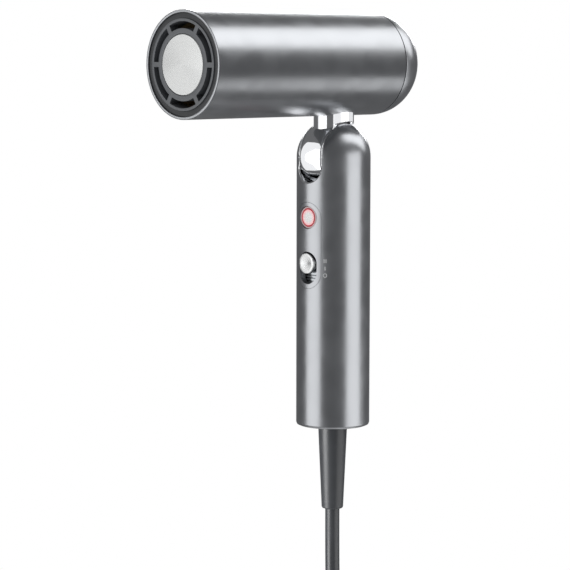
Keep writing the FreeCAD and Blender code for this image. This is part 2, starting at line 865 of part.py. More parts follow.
def inner_frame():
    low = cap_top + seat
    high = hinge_height - pocket_radius - ear_wall - 3
    behind = board_front_y + main_board_thickness + seat
    beyond = frame_radius + 2
    cradle = handle_ring(beyond, frame_radius - frame_wall, low, high)
    cradle = cradle.common(block((-beyond, behind, low), (beyond, beyond, high)))
    base = low + relief_flange_thickness
    yoke_ring = handle_ring(beyond, arm_outer - arm_root, high - frame_ring_height, high)
    pieces = [
        yoke_ring.common(block((-beyond, -arm_half_width, low), (beyond, beyond, high))),
        handle_ring(beyond, relief_flange_radius + 1, base, base + 2.5),
    ]
    for side in (-1, 1):
        inner, outer = sorted((side * arm_inner, side * arm_outer))
        foot = high - frame_ring_height
        pieces.append(block((inner, -arm_half_width, foot), (outer, arm_half_width, hinge_height)))
        pieces.append(rod(bush_radius + 1.4, arm_inner, arm_outer, hinge, X_AXIS * side))
    for place in frame_screw_places():
        pieces.append(Part.makeCylinder(2.2, 11, V(place.x, place.y, low), Z_AXIS))
    pieces.append(block(
        (-clamp_half_width, clamp_split / 2, clamp_low),
        (clamp_half_width, frame_radius - 1, clamp_low + clamp_height),
    ))
    frame = cradle.multiFuse(pieces)
    cuts = [
        rod(bush_radius + slip / 5, -frame_radius, frame_radius, hinge, X_AXIS),
        rod(cord_radius + slip, handle_bottom, clamp_low + 30, V(0, 0, 0), Z_AXIS),
        block(
            (-beyond, -wire_pass, high - frame_ring_height - 1),
            (-arm_outer - travel_gap, wire_pass, high + 1),
        ),
    ]
    tapped = screw_radius + slip / 5
    cuts += [rod(tapped, -1, screw_length + 1.6, place, Z_AXIS) for place in frame_screw_places()]
    cuts += [rod(tapped, 0, 6, place, Y_AXIS) for place in clamp_screw_places()]
    return frame.cut(Part.Compound(cuts)).common(handle_solid(frame_radius, handle_bottom))


def clamp_screw_places():
    middle = clamp_low + clamp_height / 2
    return [V(side * clamp_screw_offset, 0, middle) for side in (-1, 1)]


def cord_clamp():
    bar = block(
        (-clamp_half_width, -clamp_depth, clamp_low),
        (clamp_half_width, -clamp_split / 2, clamp_low + clamp_height),
    )
    cuts = [rod(cord_radius + slip, -50, 50, V(0, 0, 0), Z_AXIS)]
    cuts += [rod(screw_radius + slip, -6, 6, place, Y_AXIS) for place in clamp_screw_places()]
    return bar.cut(Part.Compound(cuts))


def end_cap():
    low = handle_bottom + end_cap_recess
    cap = handle_ring(frame_radius, relief_top_radius + slip, low, cap_top)
    cuts = [handle_ring(relief_flange_radius + slip, 1, cap_top - relief_flange_thickness / 2, cap_top + 1)]
    for place in frame_screw_places():
        cuts.append(rod(screw_radius + slip, -1, 8, place, Z_AXIS))
        cuts.append(rod(screw_head_radius + slip, -1, screw_sink, place, Z_AXIS))
    return cap.cut(Part.Compound(cuts))


def handle_screws():
    """Two screws hold the end cap and two the cord clamp, all alike."""
    sunk = V(0, 0, screw_sink - seat)
    screws = [screw(place + sunk, Z_AXIS * -1, screw_length) for place in frame_screw_places()]
    ahead = V(0, -clamp_depth - seat, 0)
    screws += [screw(place + ahead, Y_AXIS * -1, screw_length) for place in clamp_screw_places()]
    return Part.Compound(screws)


def strain_relief():
    tip = handle_bottom - relief_length
    flange_low = cap_top - relief_flange_thickness / 2 + seat
    edge = 0.8
    return lathe(
        [
            (tip, cord_radius + seat), (tip, relief_tip_radius - edge), (tip + edge, relief_tip_radius),
            (handle_bottom + 0.3, relief_top_radius), (flange_low, relief_top_radius),
            (flange_low, relief_flange_radius), (flange_low + relief_flange_thickness, relief_flange_radius),
            (flange_low + relief_flange_thickness, cord_radius + seat),
        ],
        V(0, 0, 0), Z_AXIS, X_AXIS,
    )


def inner_lead():
    return rod(cord_radius, handle_bottom - relief_length + 1.2, lead_top, V(0, 0, 0), Z_AXIS)


def supply_wires():
    wires = []
    for side in (-1, 1):
        x = side * wire_pitch
        points = [(x, 0, lead_top + seat), (x, 0, lead_top + 3.5), (x, board_front_y - 0.8, lead_top + 7)]
        wires.append(tube_along(points, wire_radius, wire_bend)[0])
    return Part.Compound(wires)


def handle_wires():
    wires = []
    drop = pocket_radius + ear_wall + 3 + frame_ring_height
    for index in (-1, 0, 1):
        y = index * wire_pitch
        points = [
            (-wire_joint, y, hinge_height), (-wire_lane, y, hinge_height),
            (-wire_lane, y, hinge_height - drop),
            (wire_jog - wire_lane, y, hinge_height - drop - 9), (wire_jog - wire_lane, y, main_board_high - 5),
        ]
        wires.append(tube_along(points, wire_radius, wire_bend)[0])
    return Part.Compound(wires)


# ---- controls ----
def slider_stadium(half_width, extra, front, back):
    low = hinge_height - slider_bottom_drop - extra
    return stadium(half_width + extra, low, hinge_height - slider_top_drop + extra, front, back)


def board_post_places():
    upper = hinge_height - panel_top_drop + post_radius
    return [V(0, 0, upper), V(0, 0, hinge_height - panel_bottom_drop - post_drop)]


def control_panel():
    low = hinge_height - panel_bottom_drop
    high = hinge_height - panel_top_drop
    front = -handle_radius - 1
    face = stadium(panel_half_width, low, high, front, 0)
    face = face.common(handle_ring(handle_radius, panel_inner_radius, low - 5, high + 5))
    upper, lower = board_post_places()
    lip_low = lower.z - post_radius - post_margin
    lip_high = upper.z + post_radius + post_margin
    lip = stadium(panel_half_width + flange_lip, lip_low, lip_high, front, 0)
    lip = lip.common(handle_ring(flange_radius, flange_bore, low - 20, high + 20))
    panel = face.fuse(lip)
    for place in (upper, lower):
        post = rod(post_radius, -flange_bore - overlap, switch_board_y - seat, place, Y_AXIS)
        panel = panel.fuse(post)
    cuts = [
        rod(button_radius + panel_gap, -30, 0, V(0, 0, button_z), Y_AXIS),
        slider_stadium(slider_half_width, 0, -30, 0),
    ]
    tapped = screw_radius + slip / 5
    cuts += [rod(tapped, switch_board_y - 3.5, 0, place, Y_AXIS) for place in (upper, lower)]
    return panel.cut(Part.Compound(cuts)).removeSplitter()


def button_cap():
    centre = V(0, 0, button_z)
    panel_back = math.sqrt(flange_bore ** 2 - button_flange_radius ** 2)
    flange_front = -panel_back + travel_gap
    edge = 0.3
    body = lathe(
        [
            (button_face_y, 0), (button_face_y, button_radius - edge), (button_face_y + edge, button_radius),
            (flange_front, button_radius), (flange_front, button_flange_radius),
            (flange_front + 0.8, button_flange_radius), (flange_front + 0.8, button_stem_radius),
            (tact_front() + 0.5, button_stem_radius), (tact_front() + 0.5, 0),
        ],
        centre, Y_AXIS, Z_AXIS,
    )
    floor = button_face_y + light_ring_depth
    groove = ring(light_ring_outer + seat, light_ring_inner - seat, button_face_y - 1, floor, centre, Y_AXIS)
    return body.cut(groove)


def light_ring():
    back = button_face_y + light_ring_depth - seat
    return ring(light_ring_outer, light_ring_inner, button_face_y, back, V(0, 0, button_z), Y_AXIS)


def slide_knob():
    edge = 0.25
    foot = -carriage_radius - seat
    return lathe(
        [
            (knob_face_y, 0), (knob_face_y, knob_radius - edge), (knob_face_y + edge, knob_radius),
            (knob_face_y + 2.0, knob_radius), (knob_face_y + 2.0, 1.9), (foot, 1.9), (foot, 0),
        ],
        V(0, 0, knob_z), Y_AXIS, Z_AXIS,
    )


def slide_carriage():
    low = hinge_height - slider_bottom_drop - 0.7
    high = hinge_height - slider_top_drop + knob_travel + 0.7
    half = slider_half_width + 1.2
    plate = handle_ring(carriage_radius, carriage_radius - carriage_thickness, low, high)
    plate = plate.common(block((-half, -20, low), (half, 0, high)))
    lever = block(
        (-0.9, -carriage_radius + carriage_thickness / 2, knob_z - 1),
        (0.9, slide_switch_front() + 1.6, knob_z + 1),
    )
    grooves = []
    for index in range(groove_count):
        z = knob_z - knob_radius - 0.9 - index * groove_pitch
        half_groove = groove_width / 2
        floor = carriage_radius - groove_depth
        groove = handle_ring(carriage_radius + 1, floor, z - half_groove, z + half_groove)
        grooves.append(groove.common(block((-slider_half_width, -20, z - 2), (slider_half_width, 0, z + 2))))
    return plate.fuse(lever).cut(Part.Compound(grooves)).removeSplitter()


def switch_board():
    places = board_post_places()
    low = places[1].z - 2.2
    high = places[0].z + 2.2
    board = block(
        (-switch_board_half_width, switch_board_y, low),
        (switch_board_half_width, switch_board_y + switch_board_thickness, high),
    )
    return board.cut(Part.Compound([rod(screw_radius + slip, -30, 0, place, Y_AXIS) for place in places]))


def board_screws():
    back = switch_board_y + switch_board_thickness + seat
    return Part.Compound([screw(place + V(0, back, 0), Y_AXIS, 4) for place in board_post_places()])


def tact_front():
    return switch_board_y - 2.0


def tact_switch():
    body = block((-2.3, tact_front(), button_z - 2.3), (2.3, switch_board_y - seat, button_z + 2.3))
    bore = button_stem_radius + travel_gap / 2
    well = rod(bore, tact_front() - 1, switch_board_y - 0.4, V(0, 0, button_z), Y_AXIS)
    return body.cut(well)


def slide_switch_front():
    return switch_board_y - 3.2


def slide_switch():
    front = slide_switch_front()
    body = block((-4, front, knob_z - knob_travel - 4), (4, switch_board_y - seat, knob_z + 4))
    well = block((-1.2, front - 1, knob_z - knob_travel - 1.3), (1.2, front + 2.2, knob_z + 1.3))
    return body.cut(well)


# ---- main board ----
def main_board():
    return block(
        (-main_board_half_width, board_front_y, main_board_low),
        (main_board_half_width, board_front_y + main_board_thickness, main_board_high),
    )


def capacitors():
    cans = []
    for x in (-5.5, 5.5):
        cans.append(Part.makeCylinder(4.2, 17, V(x, board_front_y - 4.2 - seat, main_board_low + 8), Z_AXIS))
    return Part.Compound(cans)


def choke_coil():
    ring_radius = 4.2
    winding_radius = 2.2
    centre = V(0, board_front_y - ring_radius - winding_radius - seat, main_board_low + 29)
    winding = Part.makeTorus(ring_radius, winding_radius, centre, Z_AXIS)
    base = Part.makeCylinder(ring_radius, 1.0, centre - V(0, 0, winding_radius + 0.6), Z_AXIS)
    return winding.fuse(base).removeSplitter()


def driver_chips():
    chips = []
    for index in range(3):
        z = main_board_high - 22 + index * 7
        chips.append(block((2.0, board_front_y - 1.6 - seat, z), (8.0, board_front_y - seat, z + 5)))
    return Part.Compound(chips)


# ---- cord ----
def flex_run(route):
    """One run of the cord, with its length, bends and filled share written out."""
    solid, length, radii = tube_along(route, cord_radius, largest_cord_bend)
    share = solid.Volume / (math.pi * cord_radius ** 2 * length)
    print("cord run", round(length, 1), "bends", [round(r) for r in radii], "share", round(share, 4))
    return solid


def cord():
    return flex_run(cord_route)


def cord_tail():
    return flex_run(tail_route)


def cord_coil():
    return Part.makeTorus(coil_ring_radius, coil_bundle_radius, V(0, 0, coil_centre_z), X_AXIS)


def cord_tie():
    """A strap round the coil's turns, on the side away from the cord's lead."""
    coil_centre = V(0, 0, coil_centre_z)
    bundle = coil_centre + V(0, -coil_ring_radius, 0)
    sweeps = []
    for radius in (coil_bundle_radius + slip + tie_thickness, coil_bundle_radius + slip):
        section = Part.Face(Part.Wire([Part.makeCircle(radius, bundle, Z_AXIS)]))
        section.rotate(coil_centre, X_AXIS, -tie_half_angle)
        sweeps.append(solid_of(section.revolve(coil_centre, X_AXIS, 2 * tie_half_angle)))
    return sweeps[0].cut(sweeps[1])


def plug_top():
    return V(*tail_route[-1])


def plug_body():
    top = plug_top()
    body = block(
        (top.x - plug_half_x, top.y - plug_half_y, top.z - plug_length),
        (top.x + plug_half_x, top.y + plug_half_y, top.z - 4),
    )
    upright = [edge for edge in body.Edges if abs(edge.Vertexes[0].Z - edge.Vertexes[1].Z) > 1]
    body = body.makeFillet(plug_edge, upright)
    rim = [edge for edge in body.Edges if edge.BoundBox.ZMin > top.z - 4.1]
    body = body.makeFillet(plug_edge * 0.8, rim)
    collar = Part.makeCone(relief_tip_radius, plug_half_y * 0.85, 8, top, Z_AXIS * -1)
    body = body.fuse(collar)
    for x in (-blade_spacing / 2, blade_spacing / 2):
        body = body.cut(plug_blade(top, x, seat))
    return body.removeSplitter()


def plug_blade(top, x, extra):
    thin = blade_plate / 2 + extra
    wide = blade_width / 2 + extra
    face = top.z - plug_length
    return block(
        (top.x + x - thin, top.y - wide, face - blade_length),
        (top.x + x + thin, top.y + wide, face + 6 + extra),
    )


def plug_blades():
    return Part.Compound([plug_blade(plug_top(), x, 0) for x in (-blade_spacing / 2, blade_spacing / 2)])


PIECES = [
    barrel_shell, outlet_ring, nozzle_magnets, outlet_grille, centre_cap,
    heat_tube, duct_collar, heater_frame, heater_coil, thermal_cutout, thermal_fuse,
    motor_housing, motor_end_plate, motor_bearings, stator_core, stator_windings,
    rotor_magnet, motor_shaft, impeller, motor_dampers,
    rear_frame, cover_magnets, rear_cover, keeper_ring, inlet_mesh,
    hinge_neck, hinge_pins, hinge_bushes, friction_washers, neck_plate, neck_screws, head_wires,
    handle_shell, inner_frame, cord_clamp, end_cap, handle_screws,
    strain_relief, inner_lead, supply_wires, handle_wires,
    control_panel, button_cap, light_ring, slide_knob, slide_carriage,
    switch_board, board_screws, tact_switch, slide_switch,
    main_board, capacitors, choke_coil, driver_chips,
    cord, cord_tail, cord_coil, cord_tie, plug_body, plug_blades,
]

os.makedirs("parts", exist_ok=True)
for make_piece in PIECES:
    make_piece().exportStep("parts/" + make_piece.__name__ + ".step")
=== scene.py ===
import json
import math

import bmesh
import bpy
from bpy.props import FloatProperty, FloatVectorProperty, IntProperty, PointerProperty
from mathutils import Matrix, Vector

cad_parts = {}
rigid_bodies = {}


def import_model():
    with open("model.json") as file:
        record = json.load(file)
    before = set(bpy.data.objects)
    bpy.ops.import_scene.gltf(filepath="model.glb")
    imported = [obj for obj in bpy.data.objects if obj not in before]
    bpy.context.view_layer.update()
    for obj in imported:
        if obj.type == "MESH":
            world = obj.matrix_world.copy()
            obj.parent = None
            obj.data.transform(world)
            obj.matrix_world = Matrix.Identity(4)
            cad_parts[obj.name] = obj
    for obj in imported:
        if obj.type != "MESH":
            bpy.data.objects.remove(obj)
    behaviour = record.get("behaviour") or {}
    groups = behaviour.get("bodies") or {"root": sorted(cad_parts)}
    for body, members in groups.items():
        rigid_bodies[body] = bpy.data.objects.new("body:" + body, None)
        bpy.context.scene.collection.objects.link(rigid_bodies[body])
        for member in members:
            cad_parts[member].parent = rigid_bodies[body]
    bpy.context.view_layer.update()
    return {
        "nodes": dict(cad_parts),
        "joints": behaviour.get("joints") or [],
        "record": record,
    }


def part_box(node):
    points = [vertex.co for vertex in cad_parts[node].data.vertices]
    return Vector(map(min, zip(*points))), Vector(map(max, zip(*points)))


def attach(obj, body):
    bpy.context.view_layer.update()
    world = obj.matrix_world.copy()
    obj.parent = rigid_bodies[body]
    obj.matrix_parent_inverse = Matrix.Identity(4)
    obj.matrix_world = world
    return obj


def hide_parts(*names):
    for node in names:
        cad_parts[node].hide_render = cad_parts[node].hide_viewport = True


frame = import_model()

bl_info = {
    "name": "Folding Hair Dryer",
    "version": (1, 0, 0),
    "blender": (4, 5, 0),
    "location": "View3D > Sidebar > Dryer",
    "description": "Builds a folding travel hair dryer, piece by piece, round its engineering frame",
    "category": "Add Mesh",
}

MM = 0.001

# ---- places read from the frame, in metres ----
shell_low, shell_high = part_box("barrel_shell")
grip_low, grip_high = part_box("handle_shell")
knob_low, knob_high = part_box("slide_knob")
cap_low, cap_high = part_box("button_cap")
HINGE = Vector(next(joint["pos_m"] for joint in frame["joints"] if joint["name"] == "fold"))
BARREL = Vector((0.0, 0.0, (shell_low.z + shell_high.z) / 2))
NOSE = shell_low.y
TAIL = shell_high.y
BARREL_R = shell_high.x
GRIP_R = grip_high.x
GRIP_END = grip_low.z
AXES = {"X": Vector((1, 0, 0)), "Y": Vector((0, 1, 0)), "Z": Vector((0, 0, 1))}

NECK_R = 9 * MM
NECK_HOLE_R = 7.65 * MM
KNUCKLE_R = 15.5 * MM
EAR_SLOT_HALF = 6.8 * MM
GRILLE_SLOT = (15.2 * MM, 18.1 * MM)
COVER_GAP = 0.25 * MM
MARKS_CLEAR = 0.02 * MM
MARKS_SUNK = 0.03 * MM
NEAR_WALL = 0.05 * MM
ROUGHNESS_SPREAD = 0.03

CAMERA_PLACE = (0.687004, -0.702893, 0.140487)
AZIMUTH, ELEVATION, ROLL = (math.radians(angle) for angle in (45.6099, 6.1718, 0.0784))
LENS_MM, SENSOR_MM = 138.56, 36.0
FLOOR_Z = -0.40

# soft boxes: name, place, target, width, height, watts, and whether its long side lies along the barrel
LIGHTS = (
    ("overhead_strip", (0.43, 0.62, 0.86), (0, -0.02, 0.13), 0.70, 1.50, 6.6, True),
    ("rear_top_card", (-0.78, 0.84, 0.46), (0, 0, 0.13), 1.00, 0.40, 9.0, False),
    ("right_strip", (0.605, 0.235, -0.12), (0, 0, -0.08), 0.60, 0.75, 2.0, False),
    ("left_strip", (-0.31, -0.81, -0.02), (0, 0, 0.03), 0.80, 0.90, 3.2, False),
    ("low_fill", (0.46, 0.66, -0.33), (0, 0, 0.13), 0.36, 0.30, 0.32, False),
)
FLEX_CARDS = (("flex_card_left", (-0.30, -0.80, -0.25), 0.50, 0.9, 7.0),)
HANDLE_ONLY = ("right_strip",)
# white cards that only the chrome casting mirrors: name, place, width, height, watts
NECK_CARDS = (
    ("chrome_card_front", (0.68, -0.18, 0.12), 0.95, 0.9, 2.4),
    ("chrome_card_back", (0.35, 0.65, 0.12), 1.00, 0.9, 2.3),
    ("chrome_card_left", (-0.42, -0.55, 0.10), 0.50, 0.9, 1.3),
)

# finishes by the record's material slot: name, colour, metallic, roughness and index of refraction; then
# grain and relief in millimetres, mottle, and the band of a turned, wound or stacked surface
FINISHES = {
    # ABS moulded with a fine grain
    "dark_plastic": ("moulded_black_abs", "#37393c", 0.0, 0.4, 1.53, 0.4, 0.006),
    # glass-filled nylon: dull, slightly cloudy
    "frame_plastic": ("glass_filled_nylon", "#3e4043", 0.0, 0.55, 1.53, 0.3, 0.01, 0.1),
    "spun_aluminium": ("bare_aluminium", "#d8d9da", 1.0, 0.3),
    # nickel plate on sintered magnets: warm silver
    "magnet_nickel": ("nickel_plate", "#c4c0b6", 1.0, 0.18),
    # pressed mica sheet: tan, with pearly flakes a few millimetres wide
    "mica": ("pressed_mica", "#b8a27a", 0.0, 0.35, 1.56, 2.0, 0.01, 0.16),
    # nickel-chromium wire, browned by heat
    "heater_wire": ("oxidised_nichrome", "#6d655c", 1.0, 0.45, 1.5, 0.3, 0.004),
    # ground steel with zinc plate
    "steel": ("zinc_plated_steel", "#bfc1c4", 1.0, 0.28, 1.5, 0.4, 0.002),
    # turned aluminium: feed lines every 0.3 mm
    "motor_aluminium": ("turned_aluminium", "#cfd1d2", 1.0, 0.32, 1.5, 0.6, 0.003, 0.05, (0.3, "Y")),
    # silicon-steel laminations 0.35 mm thick, stacked along the shaft
    "laminations": ("stacked_silicon_steel", "#7f838c", 1.0, 0.4, 1.5, 0.6, 0.02, 0.2, (0.35, "Y")),
    # enamelled copper wire 0.3 mm thick
    "copper": ("enamelled_copper", "#b86a35", 1.0, 0.3, 1.5, 0.6, 0.05, 0.15, (0.3, "Y")),
    # acetal: milky and slippery
    "acetal": ("turned_acetal", "#e6e3da", 0.0, 0.35, 1.48, 0.6, 0.003, 0.05, (0.3, "X")),
    # black silicone rubber: matt
    "rubber": ("black_silicone", "#1f2021", 0.0, 0.75, 1.41, 0.5, 0.01),
    # satin PVC with the faint lengthwise ripple of extrusion
    "flex_pvc": ("satin_pvc_sheath", "#414346", 0.0, 0.36, 1.54, 1.4, 0.012, 0.06),
    "wire_sheath": ("silicone_wire_sheath", "#b8bcbf", 0.0, 0.45, 1.42),
    # nickel-plated brass, drawn and polished
    "brass": ("nickelled_brass", "#d3c18c", 1.0, 0.2, 1.5, 0.5, 0.002),
    # epoxy board under green solder mask, tracks 0.8 mm apart showing through
    "circuit_board": ("green_solder_mask", "#12563a", 0.0, 0.28, 1.55, 0.6, 0.02, 0.25, (0.8, "Z")),
    "components": ("moulded_epoxy", "#2a2a2c", 0.0, 0.5, 1.55, 0.2, 0.008),
    # shrink sleeve over an aluminium can
    "can_sleeve": ("blue_shrink_sleeve", "#2a3d66", 0.0, 0.25, 1.54, 2.0, 0.01),
}


def linear(code):
    """The scene-linear colour of an sRGB hex value."""
    shares = [int(code[i:i + 2], 16) / 255 for i in (1, 3, 5)]
    return tuple(c / 12.92 if c <= 0.04045 else ((c + 0.055) / 1.055) ** 2.4 for c in shares)


# ---- what a user would change ----
def length(name, default, text):
    return FloatProperty(name=name, description=text, default=default, unit="LENGTH")


def count(name, default, text):
    return IntProperty(name=name, description=text, default=default)


def tint(name, code, text):
    return FloatVectorProperty(name=name, description=text, subtype="COLOR", size=3, default=linear(code))


class DryerSizes(bpy.types.PropertyGroup):
    """Sizes of the visible pieces."""
    wall: length("Barrel Wall", 1.3 * MM, "Thickness of the barrel's aluminium")
    rim_edge: length("Rim Edge", 0.35 * MM, "Rounding of the barrel's front rim")
    spokes: count("Grille Spokes", 6, "Spokes between the grille's ring and its hub")
    spoke_width: length("Spoke Width", 2.1 * MM, "Width of each grille spoke")
    inlet_hole: length("Inlet Hole", 0.9 * MM, "Radius of each hole in the rear cover")
    inlet_step: length("Inlet Step", 2.9 * MM, "Distance from one ring of holes to the next")
    inlet_rings: count("Inlet Rings", 5, "Rings of holes round the middle one")
    ear_chamfer: length("Ear Chamfer", 0.5 * MM, "Bright machined edge along the hinge slot")
    cord_length: length("Cord Length", 1.8, "Length of the mains cord")


class DryerFinish(bpy.types.PropertyGroup):
    """Colours of the visible finishes."""
    shell: tint("Shell", "#b0b2b5", "Titanium-grey satin lacquer")
    chrome: tint("Chrome", "#e6e7e9", "Plated neck and knuckle")
    grille: tint("Grille", "#76797d", "Moulded outlet grille")
    light: tint("Ring Light", "#c8323e", "Lit ring in the power button")
    floor: tint("Floor", "#f2f2f2", "Plain pale floor")


def sizes():
    return bpy.context.scene.dryer_sizes


def colours():
    return bpy.context.scene.dryer_finish


# ---- helpers for node trees ----
class Output:
    """A node's output; arithmetic with it makes math nodes."""
    def __init__(self, tree, socket):
        self.tree, self.socket = tree, socket

    def calc(self, operation, other=0.0):
        return calc(self.tree, operation, self, other)

    def __add__(self, other):
        return self.calc("ADD", other)

    def __sub__(self, other):
        return self.calc("SUBTRACT", other)

    def __mul__(self, other):
        return self.calc("MULTIPLY", other)

    def __truediv__(self, other):
        return self.calc("DIVIDE", other)


def add(tree, kind, inputs=None, output=0, **settings):
    """Adds a node and hands over one of its outputs; inputs gives each socket a value or what feeds it."""
    node = tree.nodes.new(kind)
    for key, value in settings.items():
        setattr(node, key, value)
    for key, value in (inputs or {}).items():
        for source in value if isinstance(value, list) else [value]:
            if isinstance(source, Output):
                tree.links.new(source.socket, node.inputs[key])
            else:
                node.inputs[key].default_value = source
    return Output(tree, node.outputs[output]) if len(node.outputs) else None


def calc(tree, operation, first, second=0.0):
    return add(tree, "ShaderNodeMath", {0: first, 1: second}, operation=operation)


def vector_calc(tree, operation, first, second=(0, 0, 0), output=0):
    return add(tree, "ShaderNodeVectorMath", {0: first, 1: second}, output, operation=operation)


def blank_material(name):
    """An empty material, its tree, and the shaded point's place in the piece."""
    material = bpy.data.materials.new(name)
    material.use_nodes = True
    tree = material.node_tree
    tree.nodes.clear()
    return material, tree, add(tree, "ShaderNodeTexCoord", output="Object")


def surfaced(material, tree, settings):
    add(tree, "ShaderNodeOutputMaterial", {"Surface": add(tree, "ShaderNodeBsdfPrincipled", settings)})
    return material


def blend(tree, factor, low, high):
    """A colour between two others."""
    return add(tree, "ShaderNodeMix", {0: factor, 6: low, 7: high}, 2, data_type="RGBA")


def spread(tree, value, low, high):
    """A noise's middle range stretched over low to high."""
    return add(tree, "ShaderNodeMapRange", {
        "Value": value, "From Min": 0.35, "From Max": 0.65, "To Min": low, "To Max": high,
    })


def mottled(tree, level, colour, less, more):
    """A colour that an uneven level darkens and brightens by up to these shares."""
    low = (*(c * (1 - less) for c in colour), 1)
    high = (*(min(1.0, c * (1 + more)) for c in colour), 1)
    return blend(tree, spread(tree, level, 0.0, 1.0), low, high)


def noise(tree, place, size, detail=2.0):
    return add(tree, "ShaderNodeTexNoise", {"Vector": place, "Scale": 1 / size, "Detail": detail})


def uneven(tree, level, roughness):
    return spread(tree, level, roughness - ROUGHNESS_SPREAD, roughness + ROUGHNESS_SPREAD)


def bump(tree, height, distance, strength):
    return add(tree, "ShaderNodeBump", {"Height": height, "Distance": distance, "Strength": strength})


def finish(name, colour, metallic=0.0, roughness=0.5, ior=1.5, grain=0.6, relief=0.004, mottle=0.05, band=None):
    """A finish with fine grain and a faint broad unevenness. grain, relief and band are in millimetres;
    band is (pitch, axis) of a turned, wound or stacked surface."""
    if name in bpy.data.materials:
        return bpy.data.materials[name]
    material, tree, place = blank_material(name)
    height = noise(tree, place, grain * MM)
    cloud = noise(tree, place, 9 * MM, 1.0)
    if band:
        # at scale 1 a wave texture's band is pi / 10 long
        scale = math.pi / (10 * band[0] * MM)
        height = add(tree, "ShaderNodeTexWave", {"Vector": place, "Scale": scale}, "Fac", wave_type="BANDS",
                     bands_direction=band[1])
    settings = {
        "Base Color": mottled(tree, height if band else cloud, colour, mottle, mottle), "Metallic": metallic,
        "Roughness": uneven(tree, cloud, roughness), "Normal": bump(tree, height, relief * MM, 0.6),
    }
    if not metallic:
        settings["IOR"] = ior
    return surfaced(material, tree, settings)


def spun_metal(name, centre, colour, painted_glow_radius=0.0):
    """Aluminium spun about Y: grooves too fine to see round the centre, so highlights fan out as spokes."""
    material, tree, place = blank_material(name)
    arm = vector_calc(tree, "SUBTRACT", place, tuple(centre))
    tangent = vector_calc(tree, "NORMALIZE", vector_calc(tree, "CROSS_PRODUCT", arm, (0, 1, 0)))
    reach = vector_calc(tree, "LENGTH", arm, output="Value")
    # the lathe's feed is about 0.05 mm; the rings are drawn at 0.35 mm, as coarse as they need to show
    line = add(tree, "ShaderNodeTexNoise", {"W": reach * (1 / (0.35 * MM)), "Scale": 1.0},
               noise_dimensions="1D")
    tone = mottled(tree, line, colour, 0.07, 0.04)
    # painted glow: the colour turns pink towards the given radius, standing in for the red ring's light falling
    # on the metal
    if painted_glow_radius:
        start = painted_glow_radius * 0.55
        glow = add(tree, "ShaderNodeMapRange", {"Value": reach, "From Min": start, "From Max": painted_glow_radius})
        tone = blend(tree, glow, tone, (*linear("#ffb9bd"), 1))
    return surfaced(material, tree, {
        "Base Color": tone, "Metallic": 1.0, "Anisotropic": 0.85, "Tangent": tangent,
        "Roughness": uneven(tree, line, 0.26), "Normal": bump(tree, line, 0.002 * MM, 0.4),
    })


def lit_ring():
    """Diffused red plastic with light-emitting diodes behind it."""
    material, tree, place = blank_material("lit_red_diffuser")
    tone = mottled(tree, noise(tree, place, 1.6 * MM), tuple(colours().light), 0.1, 0.15)
    return surfaced(material, tree, {
        "Base Color": tone, "Roughness": 0.3, "IOR": 1.49, "Emission Color": tone, "Emission Strength": 0.25,
    })


def shell_finish():
    """Titanium-grey metallic lacquer on aluminium: satin, with flakes too small to see one by one."""
    return finish("satin_titanium_lacquer", tuple(colours().shell), metallic=1.0, roughness=0.31, grain=0.5,
                  relief=0.0015, mottle=0.02)


def chrome_finish():
    """Mirror chrome plate on a zinc casting: hard, near white, with only a breath of haze."""
    return finish("mirror_chrome_plate", tuple(colours().chrome), metallic=1.0, roughness=0.05, grain=3.0,
                  relief=0.001, mottle=0.01)


def grille_finish():
    """Heat-resistant PPS, moulded with a fine spark-eroded texture."""
    return finish("moulded_grey_pps", tuple(colours().grille), roughness=0.42, ior=1.6, grain=0.4, relief=0.006)


def slot_finish(slot):
    """The finish that goes with one of the record's material slots."""
    if slot in FINISHES:
        name, code, *settings = FINISHES[slot]
        return finish(name, linear(code), *settings)
    return {"titanium_paint": shell_finish, "chrome": chrome_finish, "grille_plastic": grille_finish,
            "ring_light": lit_ring}[slot]()


# ---- helpers for meshes; lengths in metres ----
def turn_frame(axis):
    """The two directions across an axis."""
    place = "XYZ".index(axis)
    return AXES["YZX"[place]], AXES["ZXY"[place]]


def arc(along, radius, size, start, end, count=10):
    """Points of a rounding, as (along, radius) pairs; angles in degrees from the outward direction."""
    turns = [math.radians(start + (end - start) * i / count) for i in range(count + 1)]
    return [(along + size * math.sin(t), radius + size * math.cos(t)) for t in turns]


def new_piece(name, mesh):
    piece = bpy.data.objects.new(name, mesh)
    bpy.context.scene.collection.objects.link(piece)
    return piece


def from_bmesh(name, bm):
    bmesh.ops.recalc_face_normals(bm, faces=bm.faces)
    mesh = bpy.data.meshes.new(name)
    bm.to_mesh(mesh)
    bm.free()
    return new_piece(name, mesh)


def bridge(bm, first, second):
    """Faces between two rings of points, or between a ring and one point."""
    steps = max(len(first), len(second))
    for step in range(steps if steps > 1 else 0):
        after = (step + 1) % steps
        corners = [first[step % len(first)], first[after % len(first)],
                   second[after % len(second)], second[step % len(second)]]
        bm.faces.new(list(dict.fromkeys(corners)))


def lathe(name, profile, centre, axis, steps):
    """A turned solid: profile is a closed loop of (along the axis, radius) pairs."""
    across, up = turn_frame(axis)
    turns = [2 * math.pi * step / steps for step in range(steps)]
    bm = bmesh.new()
    rings = []
    for along, radius in profile:
        base = centre + AXES[axis] * along
        ring = [base + (across * math.cos(t) + up * math.sin(t)) * radius for t in turns]
        rings.append([bm.verts.new(point) for point in (ring if radius >= 1e-7 else [base])])
    for first, second in zip(rings, rings[1:] + rings[:1]):
        bridge(bm, first, second)
    return from_bmesh(name, bm)


def evaluated_mesh(piece):
    bpy.context.view_layer.update()
    graph = bpy.context.evaluated_depsgraph_get()
    return bpy.data.meshes.new_from_object(piece.evaluated_get(graph), depsgraph=graph)


